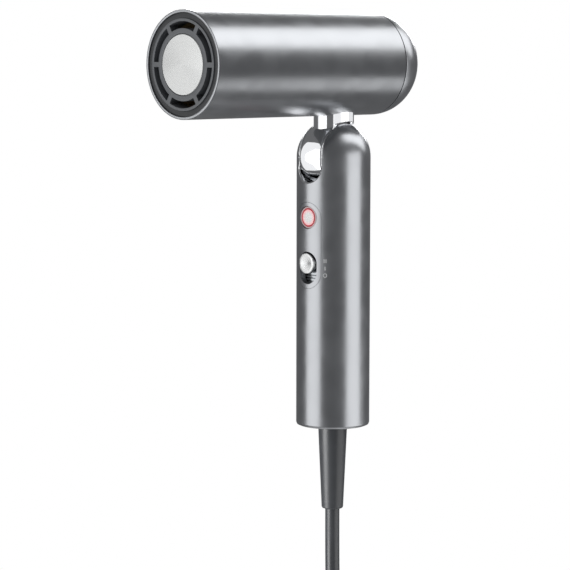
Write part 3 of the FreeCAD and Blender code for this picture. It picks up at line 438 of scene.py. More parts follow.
def carve(piece, tool, operation="DIFFERENCE"):
    """Cuts a tool out of a piece, or joins it to the piece, and removes the tool."""
    modifier = piece.modifiers.new("carve", "BOOLEAN")
    modifier.operation = operation
    modifier.solver = "EXACT"
    modifier.object = tool
    mesh = evaluated_mesh(piece)
    piece.modifiers.clear()
    piece.data = mesh
    bpy.data.objects.remove(tool)


def refined(name, node):
    """A copy of a CAD node's mesh with its loose triangles merged."""
    bm = bmesh.new()
    bm.from_mesh(frame["nodes"][node].data)
    bmesh.ops.remove_doubles(bm, verts=bm.verts, dist=1e-6)
    bmesh.ops.dissolve_degenerate(bm, edges=bm.edges, dist=1e-7)
    mesh = bpy.data.meshes.new(name)
    bm.to_mesh(mesh)
    bm.free()
    mesh.materials.clear()
    return new_piece(name, mesh)


def round_about(centre, axis, radius):
    """Where a point lies on a turned wall: its distance from it, and the wall's direction there."""
    way = AXES[axis]

    def measure(point):
        arm = point - centre
        arm -= way * arm.dot(way)
        return arm.length - radius, arm.normalized()
    return measure


def ball(centre, radius):
    def measure(point):
        arm = point - centre
        return arm.length - radius, arm.normalized()
    return measure


def only(surface, holds):
    """A surface that counts only at the points where the condition holds."""
    def measure(point):
        distance, way = surface(point)
        return (distance if holds(point) else 1.0), way
    return measure


def dress(piece, material, body, nodes=(), surfaces=(), sharp=28):
    """Gives a piece its finish and smooth shading, exact on the round surfaces, and ties it to its body."""
    mesh = piece.data
    if material:
        mesh.materials.clear()
        mesh.materials.append(material)
    for polygon in mesh.polygons:
        polygon.use_smooth = True
    mesh.set_sharp_from_angle(angle=math.radians(sharp))
    if surfaces:
        normals = [Vector(corner.vector) for corner in mesh.corner_normals]
        for polygon in mesh.polygons:
            for surface in surfaces:
                distance, way = surface(polygon.center)
                if abs(distance) < NEAR_WALL and abs(way.dot(polygon.normal)) > 0.985:
                    side = 1 if way.dot(polygon.normal) > 0 else -1
                    for loop in polygon.loop_indices:
                        point = mesh.vertices[mesh.loops[loop].vertex_index].co
                        normals[loop] = surface(point)[1] * side
                    break
        mesh.normals_split_custom_set(normals)
    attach(piece, body)
    if nodes:
        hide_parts(*nodes)
    return piece


# ---- Geometry Nodes trees ----
def new_tree(name, numbers):
    """A tree that takes a mesh, these numbers and a finish; it hands over its inputs by name."""
    tree = bpy.data.node_groups.new(name, "GeometryNodeTree")
    tree.interface.new_socket("Geometry", in_out="INPUT", socket_type="NodeSocketGeometry")
    for label, default in numbers.items():
        kind = "NodeSocketInt" if isinstance(default, int) else "NodeSocketFloat"
        tree.interface.new_socket(label, in_out="INPUT", socket_type=kind).default_value = default
    tree.interface.new_socket("Finish", in_out="INPUT", socket_type="NodeSocketMaterial")
    tree.interface.new_socket("Geometry", in_out="OUTPUT", socket_type="NodeSocketGeometry")
    sockets = tree.nodes.new("NodeGroupInput").outputs
    return tree, {socket.name: Output(tree, socket) for socket in sockets}


def close_tree(tree, values, geometry):
    real = add(tree, "GeometryNodeRealizeInstances", {"Geometry": geometry})
    done = add(tree, "GeometryNodeSetMaterial", {"Geometry": real, "Material": values["Finish"]})
    add(tree, "NodeGroupOutput", {"Geometry": done})
    return tree


def grow(tree, name, values, place=None, base=None):
    """The plain mesh that a tree makes with these values, as a piece at the origin."""
    holder = new_piece(name + "_seed", base.data if base else bpy.data.meshes.new(name))
    modifier = holder.modifiers.new("grow", "NODES")
    modifier.node_group = tree
    for item in tree.interface.items_tree:
        if item.item_type == "SOCKET" and item.in_out == "INPUT" and item.name in values:
            modifier[item.identifier] = values[item.name]
    mesh = evaluated_mesh(holder)
    bpy.data.objects.remove(holder)
    if base:
        bpy.data.objects.remove(base)
    if place:
        mesh.transform(place)
    bm = bmesh.new()
    bm.from_mesh(mesh)
    bmesh.ops.remove_doubles(bm, verts=bm.verts, dist=1e-7)
    bmesh.ops.recalc_face_normals(bm, faces=bm.faces)
    bm.to_mesh(mesh)
    bm.free()
    return new_piece(name, mesh)


def point_node(tree, x=0.0, y=0.0, z=0.0):
    return add(tree, "ShaderNodeCombineXYZ", {"X": x, "Y": y, "Z": z})


def cube_node(tree, x, y, z):
    return add(tree, "GeometryNodeMeshCube", {"Size": point_node(tree, x, y, z)})


def cylinder_node(tree, vertices, radius, depth):
    return add(tree, "GeometryNodeMeshCylinder", {"Vertices": vertices, "Radius": radius, "Depth": depth})


def raised(tree, geometry, height):
    return add(tree, "GeometryNodeTransform", {"Geometry": geometry, "Translation": point_node(tree, z=height)})


def boolean(tree, operation, **inputs):
    sockets = {"Mesh 1": inputs["first"]} if "first" in inputs else {}
    return add(tree, "GeometryNodeMeshBoolean", {**sockets, "Mesh 2": inputs["others"]},
               operation=operation, solver="EXACT")


def sleeve_tree():
    """A turned sleeve with rounded edges: a rounded section carried round a circle."""
    tree, values = new_tree("turned_sleeve", {
        "Outer Radius": 23 * MM, "Bore Radius": 21.7 * MM, "Length": 0.1, "Edge Radius": 0.35 * MM,
        "Edge Steps": 5, "Round Steps": 240,
    })
    outer, bore = values["Outer Radius"], values["Bore Radius"]
    half, reach = (outer - bore) * 0.5, values["Length"] * -1.0
    less = half * -1.0
    corners = ((less, 0.0), (half, 0.0), (half, reach), (less, reach))
    section = add(tree, "GeometryNodeCurvePrimitiveQuadrilateral", {
        f"Point {i}": point_node(tree, *corner) for i, corner in enumerate(corners, 1)
    }, mode="POINTS")
    eased = add(tree, "GeometryNodeFilletCurve", {
        "Curve": section, "Count": values["Edge Steps"], "Radius": values["Edge Radius"], "Limit Radius": True,
    }, mode="POLY")
    path = add(tree, "GeometryNodeCurvePrimitiveCircle",
               {"Resolution": values["Round Steps"], "Radius": (outer + bore) * 0.5})
    skin = add(tree, "GeometryNodeCurveToMesh", {"Curve": path, "Profile Curve": eased})
    return close_tree(tree, values, skin)


def grille_tree():
    """The outlet grille: ring, hub, floor plate and evenly spaced spokes, made one solid."""
    tree, values = new_tree("spoked_grille", {
        "Spokes": 6, "Spoke Width": 2.1 * MM, "Spoke Depth": 5 * MM, "Slot Outer": GRILLE_SLOT[1],
        "Slot Inner": GRILLE_SLOT[0], "Plate Radius": 13.2 * MM, "Plate Depth": 3.0 * MM,
        "Plate Thickness": 1.2 * MM,
    })
    inner, outer, depth, thick = [values[name] for name in (
        "Slot Inner", "Slot Outer", "Spoke Depth", "Plate Thickness")]
    rooted = 0.8 * MM
    bar = cube_node(tree, outer - inner + rooted, values["Spoke Width"], depth)
    middle = (outer + inner) * 0.5
    places = add(tree, "GeometryNodeMeshCircle", {"Vertices": values["Spokes"], "Radius": middle})
    turn = add(tree, "GeometryNodeInputIndex") * calc(tree, "DIVIDE", 2 * math.pi, values["Spokes"])
    spokes = add(tree, "GeometryNodeInstanceOnPoints", {
        "Points": places, "Instance": raised(tree, bar, depth * 0.5), "Rotation": point_node(tree, z=turn),
    })
    plate = cylinder_node(tree, 128, values["Plate Radius"], thick)
    solid = add(tree, "GeometryNodeMeshBoolean", {
        "Mesh 2": [values["Geometry"], add(tree, "GeometryNodeRealizeInstances", {"Geometry": spokes}),
                   raised(tree, plate, values["Plate Depth"] + thick * 0.5)],
        "Self Intersection": True,
    }, operation="UNION", solver="EXACT")
    return close_tree(tree, values, solid)


def perforated_tree():
    """Round holes through a solid along Z: one in the middle, then rings of six, twelve and so on."""
    tree, values = new_tree("ringed_holes", {
        "Hole Radius": 0.9 * MM, "Step": 2.9 * MM, "Rings": 5, "Depth": 60 * MM,
    })
    rings, index = values["Rings"], add(tree, "GeometryNodeInputIndex")
    # rings 1 to n hold 3n(n + 1) holes, so a hole's ring is the root of that sum, rounded up
    root = (index * 12.0 + 9.0).calc("SQRT")
    ring = ((root - 3.0) / 6.0 - 0.001).calc("CEIL")
    place = index - 1.0 - ring * 3.0 * (ring - 1.0)
    turn = place * (math.pi / 3) / ring
    reach = ring * values["Step"]
    points = add(tree, "GeometryNodePoints", {
        "Count": rings * (rings + 1.0) * 3.0 + 1.0, "Radius": MM,
        "Position": point_node(tree, reach * turn.calc("COSINE"), reach * turn.calc("SINE")),
    })
    drills = add(tree, "GeometryNodeInstanceOnPoints", {
        "Points": points, "Instance": cylinder_node(tree, 20, values["Hole Radius"], values["Depth"]),
    })
    cutters = add(tree, "GeometryNodeRealizeInstances", {"Geometry": drills})
    return close_tree(tree, values, boolean(tree, "DIFFERENCE", first=values["Geometry"], others=cutters))


def screw_tree():
    """Pan-head screws with a cross recess, one on each point; the head stands along the point's Z."""
    tree, values = new_tree("cross_screws", {
        "Shank Radius": 0.9 * MM, "Shank Length": 9 * MM, "Head Radius": 1.7 * MM, "Head Height": 0.8 * MM,
    })
    radius, height, shank = values["Head Radius"], values["Head Height"], values["Shank Length"]
    head = add(tree, "GeometryNodeMeshCone", {
        "Vertices": 40, "Radius Top": radius * 0.8, "Radius Bottom": radius, "Depth": height,
    })
    stem = raised(tree, cylinder_node(tree, 32, values["Shank Radius"], shank), shank * -0.5)
    body = boolean(tree, "UNION", others=[head, stem])
    thin = radius * 0.22
    blades = [raised(tree, cube_node(tree, *sides, height), height * 0.9)
              for sides in ((radius, thin), (thin, radius))]
    placed = add(tree, "GeometryNodeInstanceOnPoints", {
        "Points": values["Geometry"], "Instance": boolean(tree, "DIFFERENCE", first=body, others=blades),
    })
    return close_tree(tree, values, placed)


def along_y(y, centre=BARREL):
    """Puts a tree's Z along the barrel's axis, from y backwards."""
    return Matrix.Translation((centre.x, y, centre.z)) @ Matrix.Rotation(-math.pi / 2, 4, "X")


# ---- light ----
def flagged_off_barrel():
    """The collection of pieces that the low strips leave unlit: flags keep the barrel's underside dark."""
    if "flagged_off" not in bpy.data.collections:
        bpy.data.collections.new("flagged_off")
    return bpy.data.collections["flagged_off"]


def flag_off(piece):
    held = flagged_off_barrel()
    held.objects.link(piece)
    held.collection_objects[len(held.objects) - 1].light_linking.link_state = "EXCLUDE"


def light_alone(name, pieces, cards, target):
    """Soft boxes that reach only these pieces, as small cards and flags would."""
    lit = bpy.data.collections.new(name)
    for piece in pieces:
        lit.objects.link(piece)
    for title, place, width, height, power in cards:
        soft_box(title, place, target, width, height, power).light_linking.receiver_collection = lit


def turned_to(place, right, up, back):
    """The matrix of a camera or lamp that stands at a place and looks away from back."""
    return Matrix.Translation(place) @ Matrix((right, up, back)).transposed().to_4x4()


def soft_box(name, place, target, width, height, power, flat=False):
    """A soft box that faces its target; a flat one lies with its long side along the barrel."""
    lamp = bpy.data.lights.new(name, "AREA")
    lamp.shape = "RECTANGLE"
    lamp.size, lamp.size_y, lamp.energy = width, height, power
    box = bpy.data.objects.new(name, lamp)
    way = (Vector(place) - Vector(target)).normalized()
    across = AXES["Y" if flat else "Z"].cross(way).normalized()
    box.matrix_world = turned_to(place, across, way.cross(across), way)
    box.visible_camera = False
    bpy.context.scene.collection.objects.link(box)
    return box


# ---- operators, one for each piece or group of like pieces ----
class DRYER_OT_stage(bpy.types.Operator):
    """Makes the pale floor, the soft lights, the plain backdrop and the camera"""
    bl_idname = "dryer.stage"
    bl_label = "Stage and Camera"

    def execute(self, context):
        scene = context.scene
        scene.view_settings.view_transform = "Standard"
        back = Vector((math.sin(AZIMUTH) * math.cos(ELEVATION), -math.cos(AZIMUTH) * math.cos(ELEVATION),
                       math.sin(ELEVATION)))
        level = Vector((math.cos(AZIMUTH), math.sin(AZIMUTH), 0))
        upright = back.cross(level)
        right = level * math.cos(ROLL) + upright * math.sin(ROLL)
        up = upright * math.cos(ROLL) - level * math.sin(ROLL)
        lens = bpy.data.cameras.new("camera")
        lens.lens, lens.sensor_width = LENS_MM, SENSOR_MM
        camera = bpy.data.objects.new("camera", lens)
        camera.matrix_world = turned_to(CAMERA_PLACE, right, up, back)
        scene.collection.objects.link(camera)
        scene.camera = camera

        floor = lathe("floor", [(-0.004, 0), (-0.004, 0.34), (-0.002, 0.342), (0, 0.34), (0, 0)],
                      Vector((0, 0, FLOOR_Z)), "Z", 96)
        floor.data.materials.append(finish("pale_painted_board", tuple(colours().floor), roughness=0.6,
                                           grain=2.0, relief=0.02, mottle=0.01))

        for name, *settings in LIGHTS:
            lamp = soft_box(name, *settings)
            if name in HANDLE_ONLY:
                lamp.light_linking.receiver_collection = flagged_off_barrel()

        world = bpy.data.worlds.new("studio_surround")
        world.use_nodes = True
        tree = world.node_tree
        tree.nodes.clear()
        tone = blend(tree, add(tree, "ShaderNodeLightPath", output="Is Camera Ray"),
                     (0.16, 0.161, 0.165, 1), (1, 1, 1, 1))
        glow = add(tree, "ShaderNodeBackground", {"Color": tone, "Strength": 1.0})
        add(tree, "ShaderNodeOutputWorld", {"Surface": glow})
        scene.world = world
        return {"FINISHED"}


class DRYER_OT_cord(bpy.types.Operator):
    """Makes the mains cord, hanging straight and then stored in a tied coil, with its tie and plug"""
    bl_idname = "dryer.cord"
    bl_label = "Cord, Tie and Plug"

    def execute(self, context):
        radius = 3.27 * MM
        lead = [
            (0.0, 0.0, -0.0667), (0.0, 0.0, -0.090), (0.0, 0.0007, -0.112), (0.0, 0.0105, -0.147),
            (0.001, 0.0315, -0.177), (0.002, 0.0405, -0.206),
        ]
        tail = [(-0.006, 0.0395, -0.252), (-0.006, 0.0395, -0.262), (-0.006, 0.0385, -0.284)]
        points = lead + self.coil(radius * 2 * 1.14) + tail
        curve = bpy.data.curves.new("mains_cord", "CURVE")
        curve.dimensions = "3D"
        curve.bevel_depth = radius
        curve.bevel_resolution = 5
        curve.resolution_u = 8
        curve.use_fill_caps = True
        spline = curve.splines.new("NURBS")
        spline.points.add(len(points) - 1)
        for point, place in zip(spline.points, points):
            point.co = (*place, 1)
        spline.order_u = 3
        spline.use_endpoint_u = True
        cord = bpy.data.objects.new("mains_cord", curve)
        context.scene.collection.objects.link(cord)
        curve.materials.append(slot_finish("flex_pvc"))
        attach(cord, "handle")
        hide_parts("cord", "cord_coil", "cord_tail")

        tie = refined("hook_and_loop_tie", "cord_tie")
        # woven nylon hook-and-loop strap: matt, with loops about 0.8 mm apart
        weave = finish("woven_black_nylon", linear("#2a2b2d"), roughness=0.85, ior=1.53, grain=0.8, relief=0.12,
                       mottle=0.2)
        dress(tie, weave, "handle", ["cord_tie"])
        plug = self.plug()
        return {"FINISHED"}

    def coil(self, pitch):
        """Points of the coil: seven turns, one in the middle of the bundle and six round it."""
        middle, ring, turns, per_turn, flatten, crossing = Vector((0, 0, -0.228)), 0.036, 7, 16, 0.96, 0.3
        nest = [(math.cos(math.radians(a)) * pitch, math.sin(math.radians(a)) * pitch)
                for a in (90, 30, -30, -90, -150, 150)]
        nest.insert(3, (0.0, 0.0))
        coil = []
        for step in range(turns * per_turn + 1):
            turn = step / per_turn
            first, after = (nest[min(int(turn) + i, turns - 1)] for i in (0, 1))
            # the cord passes to its next place in the last part of each turn
            share = max(0.0, (turn - int(turn) - (1 - crossing)) / crossing)
            side = first[1] + (after[1] - first[1]) * share
            out = ring - first[0] - (after[0] - first[0]) * share
            angle = 2 * math.pi * turn
            coil.append((middle.x + side * flatten, middle.y + out * math.cos(angle),
                         middle.z - out * math.sin(angle)))
        return coil

    def plug(self):
        """A moulded flat-pin plug with finger hollows and a ribbed cord guard."""
        low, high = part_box("plug_body")
        middle, half, steps = (low + high) / 2, (high - low) / 2, 64
        body_top = high.z - 4 * MM
        bm = bmesh.new()
        # heights, and the share of the full width there
        levels = [(low.z, 0.93), (low.z + 0.8 * MM, 1.0), (low.z + 8 * MM, 1.0), (low.z + 15 * MM, 0.93),
                  (low.z + 20 * MM, 0.94), (body_top - 3 * MM, 0.86), (body_top - 0.8 * MM, 0.66),
                  (body_top, 0.5)]
        rings = []
        for z, share in levels:
            ring = []
            for step in range(steps):
                turn = 2 * math.pi * step / steps
                x = math.copysign(abs(math.cos(turn)) ** 0.5, math.cos(turn)) * half.x * share
                y = math.copysign(abs(math.sin(turn)) ** 0.6, math.sin(turn)) * half.y * share
                ring.append(bm.verts.new((middle.x + x, middle.y + y, z)))
            rings.append(ring)
        for first, second in zip(rings, rings[1:]):
            bridge(bm, first, second)
        bm.faces.new(rings[0][::-1])
        bm.faces.new(rings[-1])
        body = from_bmesh("plug_moulding", bm)
        bore = 3.35 * MM
        guard = [(high.z, bore)]
        for rib in range(4):
            z = high.z - (0.2 + rib * 1.3) * MM
            radius = (4.7 + rib * 0.3) * MM
            guard += [(z, radius), (z - 0.8 * MM, radius + 0.1 * MM), (z - 0.9 * MM, radius - 0.7 * MM),
                      (z - 1.2 * MM, radius - 0.7 * MM)]
        guard += [(body_top - 2 * MM, 5.2 * MM), (body_top - 2 * MM, bore)]
        carve(body, lathe("guard", guard, Vector((middle.x, middle.y, 0)), "Z", steps), "UNION")
        return dress(body, slot_finish("flex_pvc"), "handle", ["plug_body"], sharp=35)


class DRYER_OT_barrel(bpy.types.Operator):
    """Makes the barrel's turned and lacquered shell"""
    bl_idname = "dryer.barrel"
    bl_label = "Barrel Shell"

    def execute(self, context):
        size, rise = sizes(), BARREL.z - HINGE.z
        bore = BARREL_R - size.wall
        shell = grow(sleeve_tree(), "barrel_skin", {
            "Outer Radius": BARREL_R, "Bore Radius": bore, "Length": TAIL - NOSE, "Edge Radius": size.rim_edge,
            "Finish": shell_finish(),
        }, along_y(NOSE))
        drill = [(0, 0), (0, NECK_HOLE_R), (rise, NECK_HOLE_R), (rise, 0)]
        carve(shell, lathe("neck_hole", drill, HINGE, "Z", 96))
        dress(shell, None, "head", ["barrel_shell"],
              [round_about(BARREL, "Y", BARREL_R), round_about(BARREL, "Y", bore)])
        flag_off(shell)
        return {"FINISHED"}


class DRYER_OT_outlet(bpy.types.Operator):
    """Makes the dark ring, the spoked grille and the spun cap in the outlet"""
    bl_idname = "dryer.outlet"
    bl_label = "Outlet"

    def execute(self, context):
        ring_low, ring_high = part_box("outlet_ring")
        grille_low, grille_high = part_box("outlet_grille")
        disc_low, disc_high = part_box("centre_cap")
        ring = self.sleeve("dark_outlet_ring", ring_high.x, grille_high.x + 0.05 * MM, ring_high.y - ring_low.y,
                           along_y(ring_low.y), Finish=slot_finish("dark_plastic"))
        dress(ring, None, "head", ["outlet_ring"])

        depth = grille_high.y - grille_low.y
        outer = self.sleeve("grille_ring", grille_high.x, GRILLE_SLOT[1], depth)
        carve(outer, self.sleeve("grille_hub", GRILLE_SLOT[0], 13.0 * MM, depth), "UNION")
        grille = grow(grille_tree(), "outlet_grille_moulding", {
            "Spokes": sizes().spokes, "Spoke Width": sizes().spoke_width,
            "Finish": slot_finish("grille_plastic"),
        }, along_y(grille_low.y), base=outer)
        dress(grille, None, "head", ["outlet_grille"])

        radius, edge, wall = disc_high.x, 0.3 * MM, MM
        front, back = disc_low.y, disc_high.y
        profile = [(front, radius * share) for share in (0, 0.25, 0.5, 0.75)]
        profile += [(front, radius - edge), (front + edge, radius), (back, radius), (back, radius - wall),
                    (front + wall, radius - wall), (front + wall, 0)]
        disc = lathe("spun_outlet_cap", profile, Vector((0, 0, BARREL.z)), "Y", 160)
        dress(disc, spun_metal("spun_cap_aluminium", (0, front, BARREL.z), linear("#dcdddc")),
              "head", ["centre_cap"])
        return {"FINISHED"}

    def sleeve(self, name, outer, bore, length, place=None, **more):
        return grow(bpy.data.node_groups["turned_sleeve"], name, {
            "Outer Radius": outer, "Bore Radius": bore, "Length": length, "Edge Radius": 0.15 * MM,
            "Edge Steps": 3, "Round Steps": 160, **more,
        }, place)


class DRYER_OT_inlet(bpy.types.Operator):
    """Makes the domed rear cover with its rings of inlet holes"""
    bl_idname = "dryer.inlet"
    bl_label = "Rear Cover"

    def execute(self, context):
        low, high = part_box("rear_cover")
        inset, bulge, wall = 5.2 * MM, 2.02 * MM, 1.6 * MM
        start = TAIL + COVER_GAP
        arc_y = start + 0.25 * MM
        fall = (inset ** 2 - bulge ** 2) / (2 * bulge)
        tangent = math.atan2(fall, inset)

        def skin(offset, count=44):
            """The dome's section, from the round shoulder to the flatter crown."""
            shoulder = BARREL_R - inset - offset
            crown = shoulder + bulge + fall
            turns = [tangent * i / count for i in range(count + 1)]
            rim = [(arc_y + shoulder * math.sin(t), inset + shoulder * math.cos(t)) for t in turns]
            for i in range(1, count // 2 + 1):
                turn = tangent + (math.pi / 2 - tangent) * i / (count // 2)
                rim.append((arc_y - fall + crown * math.sin(turn), max(0.0, crown * math.cos(turn))))
            rim[-1] = (rim[-1][0], 0.0)
            return rim
        skirt_out = BARREL_R - 1.3 * MM - COVER_GAP
        skirt_in = skirt_out - 1.9 * MM
        profile = [(start, BARREL_R)] + skin(0) + skin(wall)[::-1]
        profile += [(start + MM, skirt_in), (low.y, skirt_in), (low.y, skirt_out), (start, skirt_out)]
        dome = lathe("dome", profile, Vector((0, 0, BARREL.z)), "Y", 200)
        dome.data.transform(along_y(0).inverted())
        cover = grow(perforated_tree(), "perforated_rear_cover", {
            "Hole Radius": sizes().inlet_hole, "Step": sizes().inlet_step, "Rings": sizes().inlet_rings,
            "Depth": 2 * (high.y + MM), "Finish": shell_finish(),
        }, along_y(0), base=dome)
        shoulder, seat = BARREL_R - inset, Vector((0, arc_y, BARREL.z))

        def shoulder_wall(point):
            arm = point - seat
            out = arm - Vector((arm.x, 0, arm.z)).normalized() * inset
            return out.length - shoulder, out.normalized()

        def on_crown(point):
            return math.atan2(point.y - arc_y + fall, math.hypot(point.x, point.z - BARREL.z)) > tangent
        crown_wall = ball(Vector((0, arc_y - fall, BARREL.z)), shoulder + bulge + fall)
        dress(cover, None, "cover", ["rear_cover"],
              [only(crown_wall, on_crown), only(shoulder_wall, lambda point: point.y > arc_y),
               round_about(BARREL, "Y", BARREL_R)])
        return {"FINISHED"}


class DRYER_OT_neck(bpy.types.Operator):
    """Makes the chrome neck and the crowned hinge knuckle, one casting"""
    bl_idname = "dryer.neck"
    bl_label = "Neck and Knuckle"

    def execute(self, context):
        half, crown = 6.5 * MM, 0.16
        piece = refined("chrome_neck_and_knuckle", "hinge_neck")

        def crowned(point):
            arm = point - HINGE
            flat = Vector((0, arm.y, arm.z))
            share = max(-1.0, min(1.0, arm.x / half))
            way = (flat.normalized() + Vector((crown * share ** 3, 0, 0))).normalized()
            return (0.0 if KNUCKLE_R - 0.6 * MM < flat.length < KNUCKLE_R + 0.1 * MM else 1.0), way
        dress(piece, chrome_finish(), "head", ["hinge_neck"],
              [crowned, round_about(HINGE, "Z", NECK_R)])
        light_alone("chrome_only", [piece], NECK_CARDS, HINGE)
        return {"FINISHED"}


class DRYER_OT_handle(bpy.types.Operator):
    """Makes the handle's shell with its two ears, the end cap and the strain relief"""
    bl_idname = "dryer.handle"
    bl_label = "Handle"

    def execute(self, context):
        shell = refined("handle_skin", "handle_shell")
        bright = self.plane_edge(shell, sizes().ear_chamfer)
        dress(shell, shell_finish(), "handle", ["handle_shell"],
              [only(ball(HINGE, GRIP_R), lambda point: point.z >= HINGE.z),
               only(round_about(Vector(), "Z", GRIP_R), lambda point: point.z < HINGE.z)])
        # bare aluminium planed by a diamond tool after lacquering: bright, with a faint drag along the cut
        shell.data.materials.append(finish("diamond_cut_edge", linear("#f0f1f2"), metallic=1.0, roughness=0.22,
                                           grain=0.3, relief=0.002))
        for index in bright:
            shell.data.polygons[index].material_index = 1

        cap = refined("end_cap_moulding", "end_cap")
        dress(cap, slot_finish("dark_plastic"), "handle", ["end_cap"])
        self.strain_relief()
        return {"FINISHED"}

    def plane_edge(self, shell, size):
        """Turns the small step round the slot's outer edge into a planed chamfer; gives back its faces."""
        low, near = HINGE.z - 4.1 * MM, 0.03 * MM
        mesh = shell.data
        ledge = set()
        for vertex in mesh.vertices:
            point = vertex.co
            out = Vector((point.x, point.y, max(0.0, point.z - HINGE.z)))
            away = Vector((point.x, 0, min(0.0, point.z - low)))
            depth, across = GRIP_R - out.length, away.length - EAR_SLOT_HALF
            if abs(depth - size) < near and -near < across < size + near:
                ledge.add(vertex.index)
            if abs(depth - size) < near and abs(across - size) < near:
                vertex.co += (out.normalized() - away.normalized()) * size * 0.5
            elif abs(depth) < near and abs(across - size) < near:
                ledge.add(vertex.index)
        mesh.update()
        return [face.index for face in mesh.polygons if all(i in ledge for i in face.vertices)]

    def strain_relief(self):
        low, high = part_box("strain_relief")
        tip, top, collar, edge = 4.9 * MM, 6.6 * MM, 8.4 * MM, 0.8 * MM
        hole, lead_in = 3.29 * MM, 0.25 * MM
        end = GRIP_END + 0.3 * MM
        profile = [(low.z, hole + lead_in)] + arc(low.z + edge, tip - edge, edge, -90, 0, 6)
        profile += [(low.z + 8 * MM, tip + (top - tip) * 0.19), (end - 8 * MM, top - (top - tip) * 0.2),
                    (end, top), (high.z - 2 * MM, top), (high.z - 2 * MM, collar), (high.z, collar),
                    (high.z, hole), (low.z + lead_in, hole)]
        boot = lathe("tapered_strain_relief", profile, Vector(), "Z", 128)
        dress(boot, slot_finish("flex_pvc"), "handle", ["strain_relief"])
        sheaths = [piece for piece in bpy.data.objects
                   if piece.type in {"MESH", "CURVE"} and piece.data.materials and piece.data.materials[0]
                   and piece.data.materials[0].name == "satin_pvc_sheath"]
        light_alone("flex_only", sheaths, FLEX_CARDS, (0, 0, -0.2))


